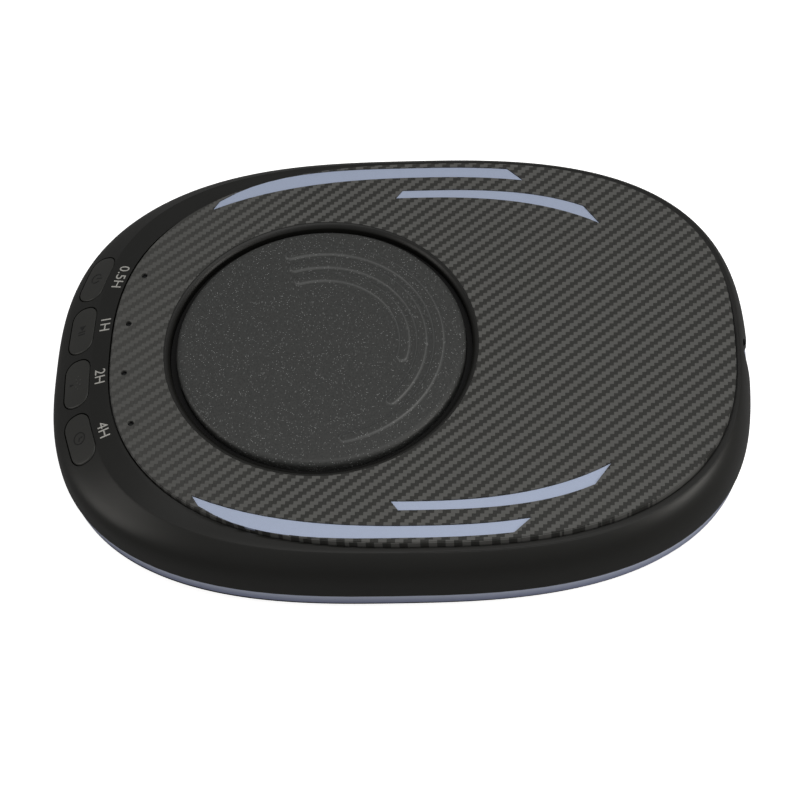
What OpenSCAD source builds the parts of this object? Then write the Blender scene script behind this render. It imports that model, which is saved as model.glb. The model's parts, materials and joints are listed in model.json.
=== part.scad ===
// Hot stone heater: a low oval warmer. A round hot plate shows through an inlaid top panel with
// four accent strips. Four keys sit on the front shoulder and four lamps shine through the panel.
// Millimetres. X runs left to right, Y runs from the keys (front) to the power inlet (rear), Z is up.

/* [Housing] */
// Overall length, front to rear
body_length = 295; // [288:1:310]
// Overall width at the widest line
body_width = 218; // [214:1:230]
// Height of the widest line, where the top shell meets the trim band
belt_height = 18; // [17:0.5:20]
// Height of the inlaid panel's top face
panel_height = 42; // [41:0.5:46]
// Wall thickness of both shells
wall = 2.4; // [2:0.1:2.8]
// Thickness of the floor under the inlaid panel
floor_thickness = 2.2; // [2:0.1:2.6]
// Gap between flat faces that slip together
slip = 0.3; // [0.2:0.05:0.4]

/* [Shoulder] */
// Plan width of the shoulder at the keys
shoulder_front = 18.2; // [17:0.2:20]
// Plan width of the shoulder on the long sides
shoulder_side = 7.4; // [6.5:0.1:9]
// Plan width of the shoulder at the rear
shoulder_rear = 5.2; // [4.5:0.1:7]
// Drop from the panel's top face to the crease where the shoulder starts
crease_drop = 2.6; // [2:0.1:3]
// Width of the ledge between panel groove and crease at the keys
ledge_front = 7.4; // [6.5:0.1:8.5]
// Width of the ledge on the long sides
ledge_side = 2.1; // [1.8:0.1:3]
// Width of the ledge at the rear
ledge_rear = 1.2; // [1:0.1:2]
// Depth of the power inlet's scoop in the rear shoulder
scoop_depth = 3.2; // [2.4:0.1:3.6]
// Radius of the scoop
scoop_radius = 22; // [18:1:26]

/* [Inlaid panel] */
// Thickness of the panel
panel_thickness = 3.6; // [3.2:0.1:4]
// Groove between the panel and the ledge
panel_groove = 0.7; // [0.5:0.1:0.9]
// Width and height of the step round the panel's top edge
panel_edge = 0.4; // [0.3:0.1:0.6]
// Depth of the slots that hold the accent strips
strip_slot_depth = 1.6; // [1.2:0.1:2]
// Thickness of the accent strips
strip_thickness = 1.2; // [0.8:0.1:1.4]
// Width of the outer accent strips at their middle
outer_strip_width = 5.6; // [4.6:0.1:6.2]
// Width of the inner accent strips at their middle
inner_strip_width = 4.2; // [3.4:0.1:5]
// Distance from the panel's edge to the outer pair of strips
strip_inset = 2.5; // [2:0.1:4]
// Distance between the outer edges of the outer and inner strips
strip_step = 13; // [11.5:0.5:15]
// Diameter of the lamp holes
lamp_hole_d = 2.7; // [2.2:0.1:3.2]
// Distance between neighbouring lamp holes
lamp_pitch = 25.8; // [24:0.2:27]

/* [Trim band] */
// Height of the trim band
trim_height = 7.3; // [6:0.1:8]
// How far the trim band tapers inwards at its lower edge
trim_taper = 1.1; // [0.6:0.1:1.6]

/* [Base] */
// Height of the flat underside above the table
base_clearance = 2.5; // [2:0.1:3]
// Distance from the housing's widest line to the flat underside, seen from above
base_inset = 16; // [14:0.5:18]
// How far the flat underside is moved towards the keys
base_shift = 3; // [0:0.5:4]
// Diameter of the rubber feet
foot_d = 15; // [13:0.5:17]
// Depth of the seats of the rubber feet
foot_seat = 1; // [0.8:0.1:1.2]
// Distance of the feet from the middle, sideways
foot_x = 54; // [50:1:58]
// Distance of the feet from the middle, front and rear
foot_y = 108; // [104:1:112]

/* [Hot plate] */
// Distance from the housing's middle to the plate's centre, towards the keys
plate_offset = 32.5; // [30:0.5:34]
// Radius of the hot plate's face
plate_radius = 61; // [58:0.5:62]
// Gap between the hot plate and the collar round it
plate_gap = 3; // [2.4:0.1:3.4]
// Width of the collar's chamfered lip
collar_width = 2.3; // [2:0.1:3]
// Depth of the collar's chamfer
collar_chamfer = 1.5; // [1:0.1:2]
// How far the plate's face stands above the panel
plate_proud = 0.5; // [0.3:0.1:1.2]
// Thickness of the plate's face
plate_face = 4.5; // [4:0.1:5]
// Depth of the plate from its face to its flange's underside
plate_depth = 11; // [10.6:0.1:11.6]
// Rounding of the plate's edge
plate_round = 2.5; // [1.5:0.1:3]
// Width of the raised ribs
rib_width = 4.6; // [3.6:0.1:5]
// Height of the raised ribs
rib_height = 0.7; // [0.4:0.1:1]
// Radius of the innermost rib's middle line
rib_radius = 35.2; // [33:0.2:36]
// Distance between the ribs' middle lines
rib_pitch = 7.2; // [6.4:0.1:7.6]
// Angle swept by the innermost rib
rib_sweep = 120; // [90:5:130]
// Angle that each further rib adds
rib_sweep_step = 32; // [20:2:34]

/* [Heater] */
// Radius of the heater disc and its insulation
heater_radius = 51; // [46:1:52]
// Thickness of the heater disc
heater_thickness = 1.2; // [1:0.1:1.4]
// Thickness of the insulation disc
insulation_thickness = 2.5; // [2:0.1:2.8]
// Thickness of the pressure plate, the retainer ring and the heat shield
sheet = 1; // [0.8:0.1:1.2]
// Radius of the circle on which the pressure plate's screws sit
plate_screw_radius = 38; // [34:1:42]
// Radius of the circle on which the retainer ring's screws sit
retainer_screw_radius = 73; // [72.5:0.5:74]

/* [Keys] */
// Length of a key cap
key_length = 24; // [22:0.5:25]
// Width of a key cap along the slope
key_width = 12.6; // [11:0.2:13]
// Corner radius of a key cap
key_corner = 5.6; // [4:0.2:5.6]
// Distance between neighbouring keys
key_pitch = 28; // [27:0.5:29]
// Place of the keys on the shoulder, 0 at the crease and 1 at the belt
key_place = 0.14; // [0.13:0.01:0.15]
// Slope of the keys' sliding axis, from upright
key_tilt = 29; // [27:1:31]
// Travel of a key
key_travel = 0.5; // [0.3:0.1:0.6]
// Gap round a key cap
key_gap = 0.5; // [0.4:0.1:0.6]
// How far a key cap stands above the shoulder
key_proud = 0.25; // [0.1:0.05:0.4]

/* [Electronics] */
// Thickness of the circuit boards
board = 1.6; // [1.2:0.1:1.8]
// Distance from a key's face to the control board, along the key's axis
board_depth = 14; // [13.8:0.1:14.4]
// Length of the power board
power_board_length = 56; // [52:1:58]
// Width of the power board
power_board_width = 100; // [96:1:104]
// Height of the power board's posts above the bottom shell's floor
power_board_lift = 7; // [6:0.5:8]
// Width of the power inlet's body
inlet_width = 21; // [20:0.5:22]
// Height of the power inlet's body
inlet_height = 10.6; // [10:0.2:11]
// Length of the power inlet's body
inlet_length = 19; // [17:0.5:20]
// Diameter of the internal wires
wire_d = 2.4; // [2:0.1:2.6]

/* [Fasteners] */
// Diameter of the screws
screw_d = 2.9; // [2.6:0.1:3]
// Diameter of the screw heads
screw_head_d = 5.6; // [5.2:0.1:6]
// Height of the screw heads
screw_head = 1.8; // [1.6:0.1:2]
// Wall round a screw hole in a post
post_wall = 2.2; // [2:0.1:2.4]

/* [Hidden] */
$fn = 64;

// Points round each outline, and steps down the shoulder.
ring_points = 112;
outer_steps = 8;
inner_steps = 5;

// Levels, from the table up.
half_length = body_length / 2;
trim_bottom = belt_height - trim_height;
base_floor = base_clearance + wall;
floor_top = panel_height - panel_thickness;
floor_under = floor_top - floor_thickness;
crease_height = panel_height - crease_drop;

// An outline is [half width, front y, rear y, y of the widest point, front power, rear power].
// Each half is a quarter pair of a superellipse, and a power above 2 makes it squarer.
body_outline = [body_width / 2, -half_length, half_length, -2, 2.7, 2.79];
crease_outline = [body_width / 2 - shoulder_side, -half_length + shoulder_front,
    half_length - shoulder_rear, 8.5, 2.9, 2.7];
panel_outline = [crease_outline[0] - ledge_side - panel_groove,
    crease_outline[1] + ledge_front + panel_groove,
    crease_outline[2] - ledge_rear - panel_groove, 10.5, 2.5, 2.62];

// Shape of the shoulder: how far it reaches out and falls before it turns down.
reach_front = 0.95;
reach_side = 0.9;
reach_rear = 0.35;
fall_front = 0.42;
fall_side = 0.22;
fall_rear = 0.08;
fall_end = 0.4;
// Height left between panel and ledge at the keys, and where the ledge starts to dip.
lip_front_drop = 0.3;
lip_dip_from = 0.35;
lip_dip_span = 0.6;
// Overlap of a swept ring with the flat floor inside it, and the ring's step below the floor.
floor_lap = 3;
floor_step = 0.2;
inner_crease_share = 0.6;

// The bottom shell's tongue stands inside the top shell and behind the trim band.
tongue_inset = wall + 2 * slip;
tongue_rise = 4;
// Gap round what is pressed or glued into a recess.
fit_slip = 0.15;
trim_reveal = 0.3;
base_lip_inset = trim_reveal + trim_taper + 0.4;
base_knee = 4;
base_curve_steps = 6;

function blend(x) = let (t = max(0, min(1, x))) t * t * (3 - 2 * t);

// A value that is one thing at the front, another at the sides and a third at the rear.
function by_side(a, front, side, rear) =
    side + (front - side) * blend(-sin(a)) + (rear - side) * blend(sin(a));

function bezier(t, p, q) = 3 * pow(1 - t, 2) * t * p + 3 * (1 - t) * pow(t, 2) * q + pow(t, 3);

// The point of outline o whose outward normal points at angle a, moved out by grow.
function outline_point(o, a, grow = 0) =
    let (c = cos(a), s = sin(a),
        half = s < 0 ? o[3] - o[1] : o[2] - o[3],
        power = s < 0 ? o[4] : o[5],
        px = pow(o[0] * abs(c), 1 / (power - 1)),
        py = pow(half * abs(s), 1 / (power - 1)),
        size = pow(o[0] * abs(c) * px + half * abs(s) * py, 1 / power))
    [sign(c) * o[0] * px / size + grow * c, o[3] + sign(s) * half * py / size + grow * s];

// Half width of outline o at the height y, and its front edge at the place x.
function outline_x(o, y) =
    let (half = y < o[3] ? o[3] - o[1] : o[2] - o[3], power = y < o[3] ? o[4] : o[5])
    o[0] * pow(1 - pow(abs(y - o[3]) / half, power), 1 / power);
function outline_front(o, x) =
    o[3] - (o[3] - o[1]) * pow(1 - pow(abs(x) / o[0], o[4]), 1 / o[4]);

// Normal angles that space the points evenly along the housing's outline.
function ring_angle(phi) =
    let (power = 2 * (body_outline[4] - 1) / body_outline[4], s = sin(phi), c = cos(phi))
    atan2(sign(s) * body_outline[0] * pow(abs(s), power),
        sign(c) * half_length * pow(abs(c), power));
ring_angles = [for (i = [0 : ring_points - 1]) ring_angle(360 * i / ring_points)];
// A floor's corners stand between a ring's, so that no corner meets an edge of the ring.
floor_turn = 0.3;
floor_angles = [for (i = [0 : ring_points - 1]) ring_angle(360 * (i + floor_turn) / ring_points)];

function at_height(p, z) = [p[0], p[1], z];

// A point of the shoulder: t is 0 at the crease and 1 at the belt.
function shoulder_point(a, t, from_grow = 0, to_grow = 0, top = crease_height) =
    let (from = outline_point(crease_outline, a, from_grow),
        to = outline_point(body_outline, a, to_grow),
        reach = bezier(t, by_side(a, reach_front, reach_side, reach_rear), 1),
        fall = bezier(t, by_side(a, fall_front, fall_side, fall_rear), fall_end))
    at_height(from + (to - from) * reach, top - (top - belt_height) * fall);

function lip_height(a) = crease_height
    + (crease_drop - lip_front_drop) * blend((-sin(a) - lip_dip_from) / lip_dip_span);

// One section of the top shell's wall, from the belt up, over the ledge and down inside.
function top_section(a) = concat(
    [for (i = [outer_steps : -1 : 0]) shoulder_point(a, i / outer_steps)],
    [at_height(outline_point(panel_outline, a, panel_groove), lip_height(a)),
        at_height(outline_point(panel_outline, a, panel_groove), floor_top - floor_step),
        at_height(outline_point(panel_outline, a, -floor_lap), floor_top - floor_step),
        at_height(outline_point(panel_outline, a, -floor_lap), floor_under + floor_step)],
    [for (i = [0 : inner_steps]) shoulder_point(a, i / inner_steps,
        -inner_crease_share * wall, -wall, floor_under + floor_step)]);

// The lower outline moves towards the keys as it nears the underside.
function base_point(a, inset, z) =
    let (share = blend((trim_bottom - z) / (trim_bottom - base_clearance)),
        p = outline_point(body_outline, a, -inset))
    [p[0], p[1] - base_shift * share, z];

// One section of the bottom shell, from the underside out, up to the tongue and down inside.
function bottom_section(a) = concat(
    [for (i = [0 : base_curve_steps]) let (u = 90 * i / base_curve_steps)
        base_point(a, base_inset - (base_inset - base_lip_inset) * sin(u),
            trim_bottom - (trim_bottom - base_clearance - floor_step) * cos(u))],
    [base_point(a, tongue_inset, trim_bottom),
        base_point(a, tongue_inset, belt_height + tongue_rise),
        base_point(a, tongue_inset + wall, belt_height + tongue_rise),
        base_point(a, tongue_inset + wall, base_floor + base_knee),
        base_point(a, base_inset, base_floor - floor_step),
        base_point(a, base_inset + floor_lap, base_floor - floor_step),
        base_point(a, base_inset + floor_lap, base_clearance + floor_step)]);

function trim_section(a) = [
    at_height(outline_point(body_outline, a, -trim_reveal - trim_taper), trim_bottom),
    at_height(outline_point(body_outline, a, -trim_reveal), belt_height),
    at_height(outline_point(body_outline, a, slip - tongue_inset), belt_height),
    at_height(outline_point(body_outline, a, slip - tongue_inset), trim_bottom)];

// A closed ring whose cross-section changes as it goes round.
module swept_ring(sections) {
    count = len(sections);
    size = len(sections[0]);
    polyhedron(
        points = [for (section = sections) each section],
        faces = [for (i = [0 : count - 1], j = [0 : size - 1])
            let (k = (i + 1) % count, m = (j + 1) % size)
            each [[i * size + j, i * size + m, k * size + m],
                [i * size + j, k * size + m, k * size + j]]]);
}

// A slab: a grid of points on top, and the same grid moved by drop beneath it.
module slab(top, drop) {
    rows = len(top);
    cols = len(top[0]);
    under = rows * cols;
    function id(i, j) = i * cols + j;
    polyhedron(
        points = concat([for (row = top) each row], [for (row = top) each [for (p = row) p + drop]]),
        faces = concat(
            [for (i = [0 : rows - 2], j = [0 : cols - 2]) each [
                [id(i, j), id(i + 1, j), id(i + 1, j + 1)],
                [id(i, j), id(i + 1, j + 1), id(i, j + 1)],
                [under + id(i + 1, j + 1), under + id(i + 1, j), under + id(i, j)],
                [under + id(i, j + 1), under + id(i + 1, j + 1), under + id(i, j)]]],
            [for (i = [0 : rows - 2]) each [
                [id(i + 1, 0), id(i, 0), under + id(i, 0), under + id(i + 1, 0)],
                [id(i, cols - 1), id(i + 1, cols - 1),
                    under + id(i + 1, cols - 1), under + id(i, cols - 1)]]],
            [for (j = [0 : cols - 2]) each [
                [id(0, j), id(0, j + 1), under + id(0, j + 1), under + id(0, j)],
                [id(rows - 1, j + 1), id(rows - 1, j),
                    under + id(rows - 1, j), under + id(rows - 1, j + 1)]]]));
}

// A round wire along a route of points.
module wire(route, d) {
    sides = 8;
    count = len(route);
    function direction(i) = let (v = route[min(i + 1, count - 1)] - route[max(i - 1, 0)]) v / norm(v);
    function side(i) = let (v = cross(direction(i), [1, 0, 0])) v / norm(v);
    polyhedron(
        points = [for (i = [0 : count - 1], j = [0 : sides - 1])
            let (u = side(i), v = cross(direction(i), u), a = 360 * j / sides)
            route[i] + (u * cos(a) + v * sin(a)) * d / 2],
        faces = concat(
            [[for (j = [0 : sides - 1]) j]],
            [for (i = [0 : count - 2], j = [0 : sides - 1]) let (m = (j + 1) % sides)
                each [[i * sides + j, (i + 1) * sides + m, i * sides + m],
                    [i * sides + j, (i + 1) * sides + j, (i + 1) * sides + m]]],
            [[for (j = [sides - 1 : -1 : 0]) (count - 1) * sides + j]]));
}

module outline_shape(o, grow = 0, angles = ring_angles) {
    polygon([for (a = angles) outline_point(o, a, grow)]);
}

// ---- Fasteners -------------------------------------------------------------------------------

post_d = screw_d + 2 * post_wall;
pilot_d = screw_d + 0.1;
screw_hole_d = screw_d + 0.5;

// A screw whose head's seat is at the origin and whose shank runs up.
module screw(length) {
    cylinder(d = screw_d, h = length);
    translate([0, 0, -screw_head]) cylinder(d = screw_head_d, h = screw_head);
}

module ring_of(count, radius, from = 0) {
    for (i = [0 : count - 1])
        translate([0, -plate_offset, 0]) rotate(from + 360 * i / count) translate([radius, 0, 0])
            children();
}

housing_screw_places = [for (side = [-1, 1])
    each [[side * 76, -84], [side * 88, 12], [side * 68, 104]]];
housing_screw_seat = 8;
base_post_top = 22;
top_post_bottom = base_post_top + slip;
housing_screw_length = 22;

module at_housing_screws() {
    for (p = housing_screw_places)
        translate([p[0], p[1], 0]) children();
}

// ---- Top shell -------------------------------------------------------------------------------

collar_inner = plate_radius + plate_gap;
collar_outer = collar_inner + collar_width;
plate_top = panel_height + plate_proud;
flange_bottom = plate_top - plate_depth;
flange_thickness = 2.5;
flange_radius = collar_inner + 3;
retainer_posts = 6;
scoop_pad_width = 30;
scoop_pad_front = half_length - 8.5;
scoop_pad_step = 30.5;
inlet_z = 28.2;
inlet_face = half_length - scoop_depth - slip;

module plate_collar() {
    translate([0, -plate_offset, 0]) rotate_extrude($fn = 128)
        polygon([[collar_inner, floor_under], [collar_outer, floor_under],
            [collar_outer, panel_height], [collar_outer - 0.3, panel_height],
            [collar_inner, panel_height - collar_chamfer]]);
}

module shell_floor() {
    difference() {
        translate([0, 0, floor_under]) linear_extrude(floor_thickness)
            outline_shape(panel_outline, 0, floor_angles);
        translate([0, -plate_offset, 0]) cylinder(r = collar_outer - 0.5, h = panel_height, $fn = 128);
        at_lamps() {
            cylinder(d = lamp_hole_d, h = panel_height);
            cylinder(d = pipe_head_d + slip, h = floor_under + pipe_head);
        }
    }
}

module shell_post(bottom, top = floor_under + 1) {
    difference() {
        translate([0, 0, bottom]) cylinder(d = post_d, h = top - bottom, $fn = 24);
        translate([0, 0, bottom - 1]) cylinder(d = pilot_d, h = top - bottom, $fn = 24);
    }
}

module scoop_pad() {
    translate([-scoop_pad_width / 2, scoop_pad_front, belt_height])
        cube([scoop_pad_width, half_length - 2 - scoop_pad_front, scoop_pad_step - belt_height]);
    translate([-scoop_pad_width / 2, scoop_pad_front, scoop_pad_step - 1])
        cube([scoop_pad_width, half_length - 4 - scoop_pad_front, floor_under + 1 - scoop_pad_step]);
}

module scoop_cut() {
    translate([0, half_length - scoop_depth + scoop_radius, belt_height - 1])
        cylinder(r = scoop_radius, h = panel_height, $fn = 96);
    translate([-inlet_width / 2 - slip, scoop_pad_front - 1, inlet_z - inlet_height / 2 - slip])
        cube([inlet_width + 2 * slip, 20, inlet_height + 2 * slip]);
}

module top_shell() color("#262624") difference() {
    union() {
        swept_ring([for (a = ring_angles) top_section(a)]);
        shell_floor();
        plate_collar();
        at_housing_screws() shell_post(top_post_bottom);
        ring_of(retainer_posts, retainer_screw_radius) shell_post(flange_bottom);
        at_lamp_screws() shell_post(lamp_board_top);
        control_posts();
        scoop_pad();
    }
    for (k = [0 : 3])
        at_key(k) translate([0, 0, -7]) linear_extrude(14) key_shape(key_gap);
    scoop_cut();
}

// ---- Inlaid panel and accent strips ----------------------------------------------------------

module at_lamps() {
    for (k = [0 : 3]) let (x = (k - 1.5) * lamp_pitch)
        translate([x, outline_front(panel_outline, x) + lamp_inset, 0]) children();
}

lamp_inset = 6.1;

module inlaid_panel() color("#4b4c48") difference() {
    union() {
        translate([0, 0, floor_top]) linear_extrude(panel_thickness - panel_edge)
            outline_shape(panel_outline);
        translate([0, 0, floor_top]) linear_extrude(panel_thickness)
            outline_shape(panel_outline, -panel_edge);
    }
    translate([0, -plate_offset, 0]) cylinder(r = collar_outer + 0.1, h = 2 * panel_height, $fn = 128);
    at_lamps() cylinder(d = lamp_hole_d, h = 2 * panel_height);
    for (flip = [0, 1], inner = [0, 1])
        translate([0, 0, panel_height - strip_slot_depth]) linear_extrude(panel_thickness)
            mirror([flip, 0, 0]) strip_shape(inner, fit_slip);
}

// Edges of the strips, as outlines measured in from the panel's ends.
function strip_edge(half_width, front_in, rear_in, widest, power) =
    [half_width, panel_outline[1] + front_in, panel_outline[2] - rear_in, widest, power, power];
outer_strip_half = panel_outline[0] - strip_inset;
inner_strip_half = outer_strip_half - strip_step;
strip_edges = [
    [strip_edge(outer_strip_half, 16.2, 17.9, 0.5, 3),
        strip_edge(outer_strip_half - outer_strip_width, -8.3, 1.9, 9.5, 2.4)],
    [strip_edge(inner_strip_half, 21.2, 24.9, 7.5, 2.8),
        strip_edge(inner_strip_half - inner_strip_width, 21.2, 20.9, 7.5, 2.4)]];
// Front and rear ends of each strip's outer edge, then of its inner edge.
strip_ends = [[[-79.5, 47], [-82.3, 53.8]], [[1, 79.7], [-2, 86.5]]];
strip_steps = 18;

// inner is 0 for the outer strip and 1 for the inner strip; grow makes the slot.
module strip_shape(inner, grow = 0) {
    edges = strip_edges[inner];
    ends = strip_ends[inner];
    offset(delta = grow) polygon(concat(
        [for (i = [0 : strip_steps])
            let (y = ends[0][0] + (ends[0][1] - ends[0][0]) * i / strip_steps)
            [outline_x(edges[0], y), y]],
        [for (i = [strip_steps : -1 : 0])
            let (y = ends[1][0] + (ends[1][1] - ends[1][0]) * i / strip_steps)
            [outline_x(edges[1], y), y]]));
}

module accent_strip(inner) color("#9dabd6")
    translate([0, 0, panel_height - strip_slot_depth]) linear_extrude(strip_thickness)
        strip_shape(inner);

module accent_strip_left_outer() mirror([1, 0, 0]) accent_strip(0);
module accent_strip_left_inner() mirror([1, 0, 0]) accent_strip(1);
module accent_strip_right_outer() accent_strip(0);
module accent_strip_right_inner() accent_strip(1);

// ---- Trim band and bottom shell --------------------------------------------------------------

module trim_band() color("#7a84ad") swept_ring([for (a = ring_angles) trim_section(a)]);

shield_posts = 4;
shield_post_radius = 72;
shield_height = 18;
shield_rim = 7;
shield_radius = 80;
vent_count = 7;
vent_pitch = 9;
vent_length = 52;
vent_width = 3;
power_board_y = 90;

module at_feet() {
    for (x = [-foot_x, foot_x], y = [-foot_y, foot_y])
        translate([x, y, 0]) children();
}

module at_power_board_screws() {
    for (x = [-1, 1], y = [-1, 1])
        translate([x * (power_board_width / 2 - 5), power_board_y + y * (power_board_length / 2 - 5), 0])
            children();
}

module base_post(top) {
    translate([0, 0, base_clearance]) cylinder(d = post_d, h = top - base_clearance, $fn = 24);
}

module bottom_shell() color("#1d1d1c") difference() {
    union() {
        swept_ring([for (a = ring_angles) bottom_section(a)]);
        translate([0, -base_shift, base_clearance]) linear_extrude(wall)
            outline_shape(body_outline, -base_inset, floor_angles);
        at_housing_screws() base_post(base_post_top);
        ring_of(shield_posts, shield_post_radius, 45) base_post(shield_height);
        at_power_board_screws() base_post(base_floor + power_board_lift);
    }
    at_feet() cylinder(d = foot_d + 2 * fit_slip, h = base_clearance + foot_seat);
    translate([-scoop_pad_width / 2 - slip, scoop_pad_front - slip, belt_height - slip])
        cube([scoop_pad_width + 2 * slip, half_length - scoop_pad_front, panel_height]);
    at_housing_screws() {
        cylinder(d = screw_hole_d, h = panel_height, $fn = 24);
        cylinder(d = screw_head_d + 0.6, h = housing_screw_seat, $fn = 24);
    }
    ring_of(shield_posts, shield_post_radius, 45)
        translate([0, 0, base_floor + 1]) cylinder(d = pilot_d, h = shield_height, $fn = 24);
    at_power_board_screws()
        translate([0, 0, base_floor]) cylinder(d = pilot_d, h = shield_height, $fn = 24);
    for (i = [0 : vent_count - 1])
        translate([0, (i - (vent_count - 1) / 2) * vent_pitch - plate_offset, base_clearance + wall / 2])
            cube([vent_length, vent_width, 2 * wall], center = true);
}

module rubber_feet() color("#141414") at_feet()
    cylinder(d = foot_d, h = base_clearance + foot_seat);

module housing_screws() color("#b9bcc0") at_housing_screws()
    translate([0, 0, housing_screw_seat]) screw(housing_screw_length);

// ---- Hot plate and heater --------------------------------------------------------------------

gasket_lip = 1.4;
gasket_gap = 0.3;
plate_cavity_radius = plate_radius - 6;
cavity_top = plate_top - plate_face;
insulation_top = cavity_top - heater_thickness;
pressure_top = insulation_top - insulation_thickness;
pressure_bottom = pressure_top - sheet;
plate_posts = 4;
plate_post_gap = 0.1;
post_hole_d = post_d + 2 * slip;
probe_d = 5;
probe_hole_d = probe_d + 2 * slip;
rib_start = 197;

module rib(i) {
    radius = rib_radius + i * rib_pitch;
    sweep = rib_sweep + i * rib_sweep_step;
    rotate(rib_start - sweep) rotate_extrude(angle = sweep, $fn = 128)
        translate([radius, 0]) polygon([
            [-rib_width / 2, -rib_height], [rib_width / 2, -rib_height],
            [rib_width / 2, 0], [rib_width / 2 - rib_height, rib_height],
            [rib_height - rib_width / 2, rib_height], [-rib_width / 2, 0]]);
}

module hot_plate() color("#3f4141") translate([0, -plate_offset, 0]) difference() {
    union() {
        translate([0, 0, flange_bottom]) rotate_extrude($fn = 128) {
            square([plate_radius, plate_depth - plate_round]);
            square([plate_radius - plate_round, plate_depth]);
            translate([plate_radius - plate_round, plate_depth - plate_round])
                circle(plate_round, $fn = 48);
            square([flange_radius, flange_thickness]);
        }
        translate([0, 0, plate_top]) for (i = [0 : 2]) rib(i);
    }
    difference() {
        translate([0, 0, flange_bottom - 1]) cylinder(r = plate_cavity_radius,
            h = cavity_top - flange_bottom + 1, $fn = 128);
        for (i = [0 : plate_posts - 1])
            rotate(45 + 360 * i / plate_posts) translate([plate_screw_radius, 0, pressure_top + plate_post_gap])
                cylinder(d = post_d, h = panel_height, $fn = 24);
    }
    for (i = [0 : plate_posts - 1])
        rotate(45 + 360 * i / plate_posts) translate([plate_screw_radius, 0, flange_bottom])
            cylinder(d = pilot_d, h = plate_depth - 2, $fn = 24);
}

module plate_gasket() color("#101010") translate([0, -plate_offset, flange_bottom + flange_thickness])
    rotate_extrude($fn = 128) {
        translate([plate_radius + gasket_gap, 0])
            square([flange_radius - plate_radius - 2 * gasket_gap, floor_under - flange_bottom - flange_thickness]);
        translate([plate_radius + gasket_gap, 0])
            square([plate_gap - 2 * gasket_gap, floor_under - flange_bottom - flange_thickness + gasket_lip]);
    }

module plate_retainer() color("#9a9da0") difference() {
    translate([0, -plate_offset, flange_bottom - sheet]) difference() {
        cylinder(r = retainer_screw_radius + post_d / 2, h = sheet, $fn = 128);
        translate([0, 0, -1]) cylinder(r = plate_radius + 1, h = sheet + 2, $fn = 128);
    }
    ring_of(retainer_posts, retainer_screw_radius) cylinder(d = screw_hole_d, h = panel_height, $fn = 24);
}

module retainer_screws() color("#b9bcc0") ring_of(retainer_posts, retainer_screw_radius)
    translate([0, 0, flange_bottom - sheet]) screw(sheet + 4);

// A disc of the heater stack, with holes for the plate's posts and the probe.
module stack_disc(bottom, thickness, radius, hole_d) {
    difference() {
        translate([0, -plate_offset, bottom]) cylinder(r = radius, h = thickness, $fn = 128);
        ring_of(plate_posts, plate_screw_radius, 45) cylinder(d = hole_d, h = panel_height, $fn = 24);
        translate([0, -plate_offset, 0]) cylinder(d = probe_hole_d, h = panel_height, $fn = 24);
    }
}

module heater_disc() color("#a98a5b")
    stack_disc(insulation_top, heater_thickness, heater_radius, post_hole_d);
module insulation_disc() color("#d9d4c6")
    stack_disc(pressure_top, insulation_thickness, heater_radius, post_hole_d);
module pressure_plate() color("#a4a7aa")
    stack_disc(pressure_bottom, sheet, heater_radius + 1, screw_hole_d);

module plate_screws() color("#b9bcc0") ring_of(plate_posts, plate_screw_radius, 45)
    translate([0, 0, pressure_bottom]) screw(plate_top - pressure_bottom - 3);

thermostat_d = 16;
thermostat_height = 8;
thermostat_place = [24, -plate_offset, 0];
fuse_d = 4;
fuse_length = 12;
fuse_gap = 0.1;

module thermostat() color("#2b2b2b") translate(thermostat_place + [0, 0, pressure_bottom]) {
    translate([0, 0, -1]) cylinder(d = thermostat_d + 2, h = 1);
    translate([0, 0, -thermostat_height]) cylinder(d = thermostat_d, h = thermostat_height);
    for (x = [-4, 4])
        translate([x - 2, -0.4, -thermostat_height - 5]) cube([4, 0.8, 6]);
}

module thermal_fuse() color("#c9b27a")
    translate([-24 - fuse_length / 2, -plate_offset, pressure_bottom - fuse_d / 2 - fuse_gap])
        rotate([0, 90, 0]) {
            cylinder(d = fuse_d, h = fuse_length, $fn = 32);
            translate([0, 0, -5]) cylinder(d = 1, h = fuse_length + 10, $fn = 16);
        }

module temperature_probe() color("#c4c7ca") translate([0, -plate_offset, cavity_top - slip - 12])
    cylinder(d = probe_d, h = 12, $fn = 32);

module heat_shield() color("#b4b7ba") difference() {
    translate([0, -plate_offset, shield_height]) difference() {
        cylinder(r = shield_radius, h = shield_rim, $fn = 128);
        translate([0, 0, sheet]) cylinder(r = shield_radius - sheet, h = shield_rim, $fn = 128);
    }
    ring_of(shield_posts, shield_post_radius, 45) cylinder(d = screw_hole_d, h = panel_height, $fn = 24);
}

module shield_screws() color("#b9bcc0") ring_of(shield_posts, shield_post_radius, 45)
    translate([0, 0, shield_height + sheet]) mirror([0, 0, 1]) screw(8);

// ---- Keys ------------------------------------------------------------------------------------

key_axis = [0, -sin(key_tilt), cos(key_tilt)];
key_flange = 1.2;
key_flange_top = -6;
key_core_top = -2.2;
key_skin_depth = 4;
stem_d = 5;
switch_size = 6;
switch_height = 3.5;
plunger_d = 3.3;
plunger_rise = 1;
plunger_depth = 1.8;

// Normal angle of the crease's front at the place x.
function front_angle(x) =
    let (o = crease_outline, half = o[3] - o[1],
        along = pow(1 - pow(abs(x) / o[0], o[4]), 1 / o[4]),
        nx = pow(abs(x) / o[0], o[4] - 1) / o[0], ny = pow(along, o[4] - 1) / half)
    atan2(-ny, sign(x) * nx);

// The shoulder narrows towards the belt, so a key's angle is found a little further out.
function key_x(k) = (k - 1.5) * key_pitch;
function key_angle(k) =
    front_angle(2 * key_x(k) - shoulder_point(front_angle(key_x(k)), key_place)[0]);
function key_centre(k) = shoulder_point(key_angle(k), key_place);
key_row = [0, key_centre(1)[1], key_centre(1)[2]];
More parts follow.
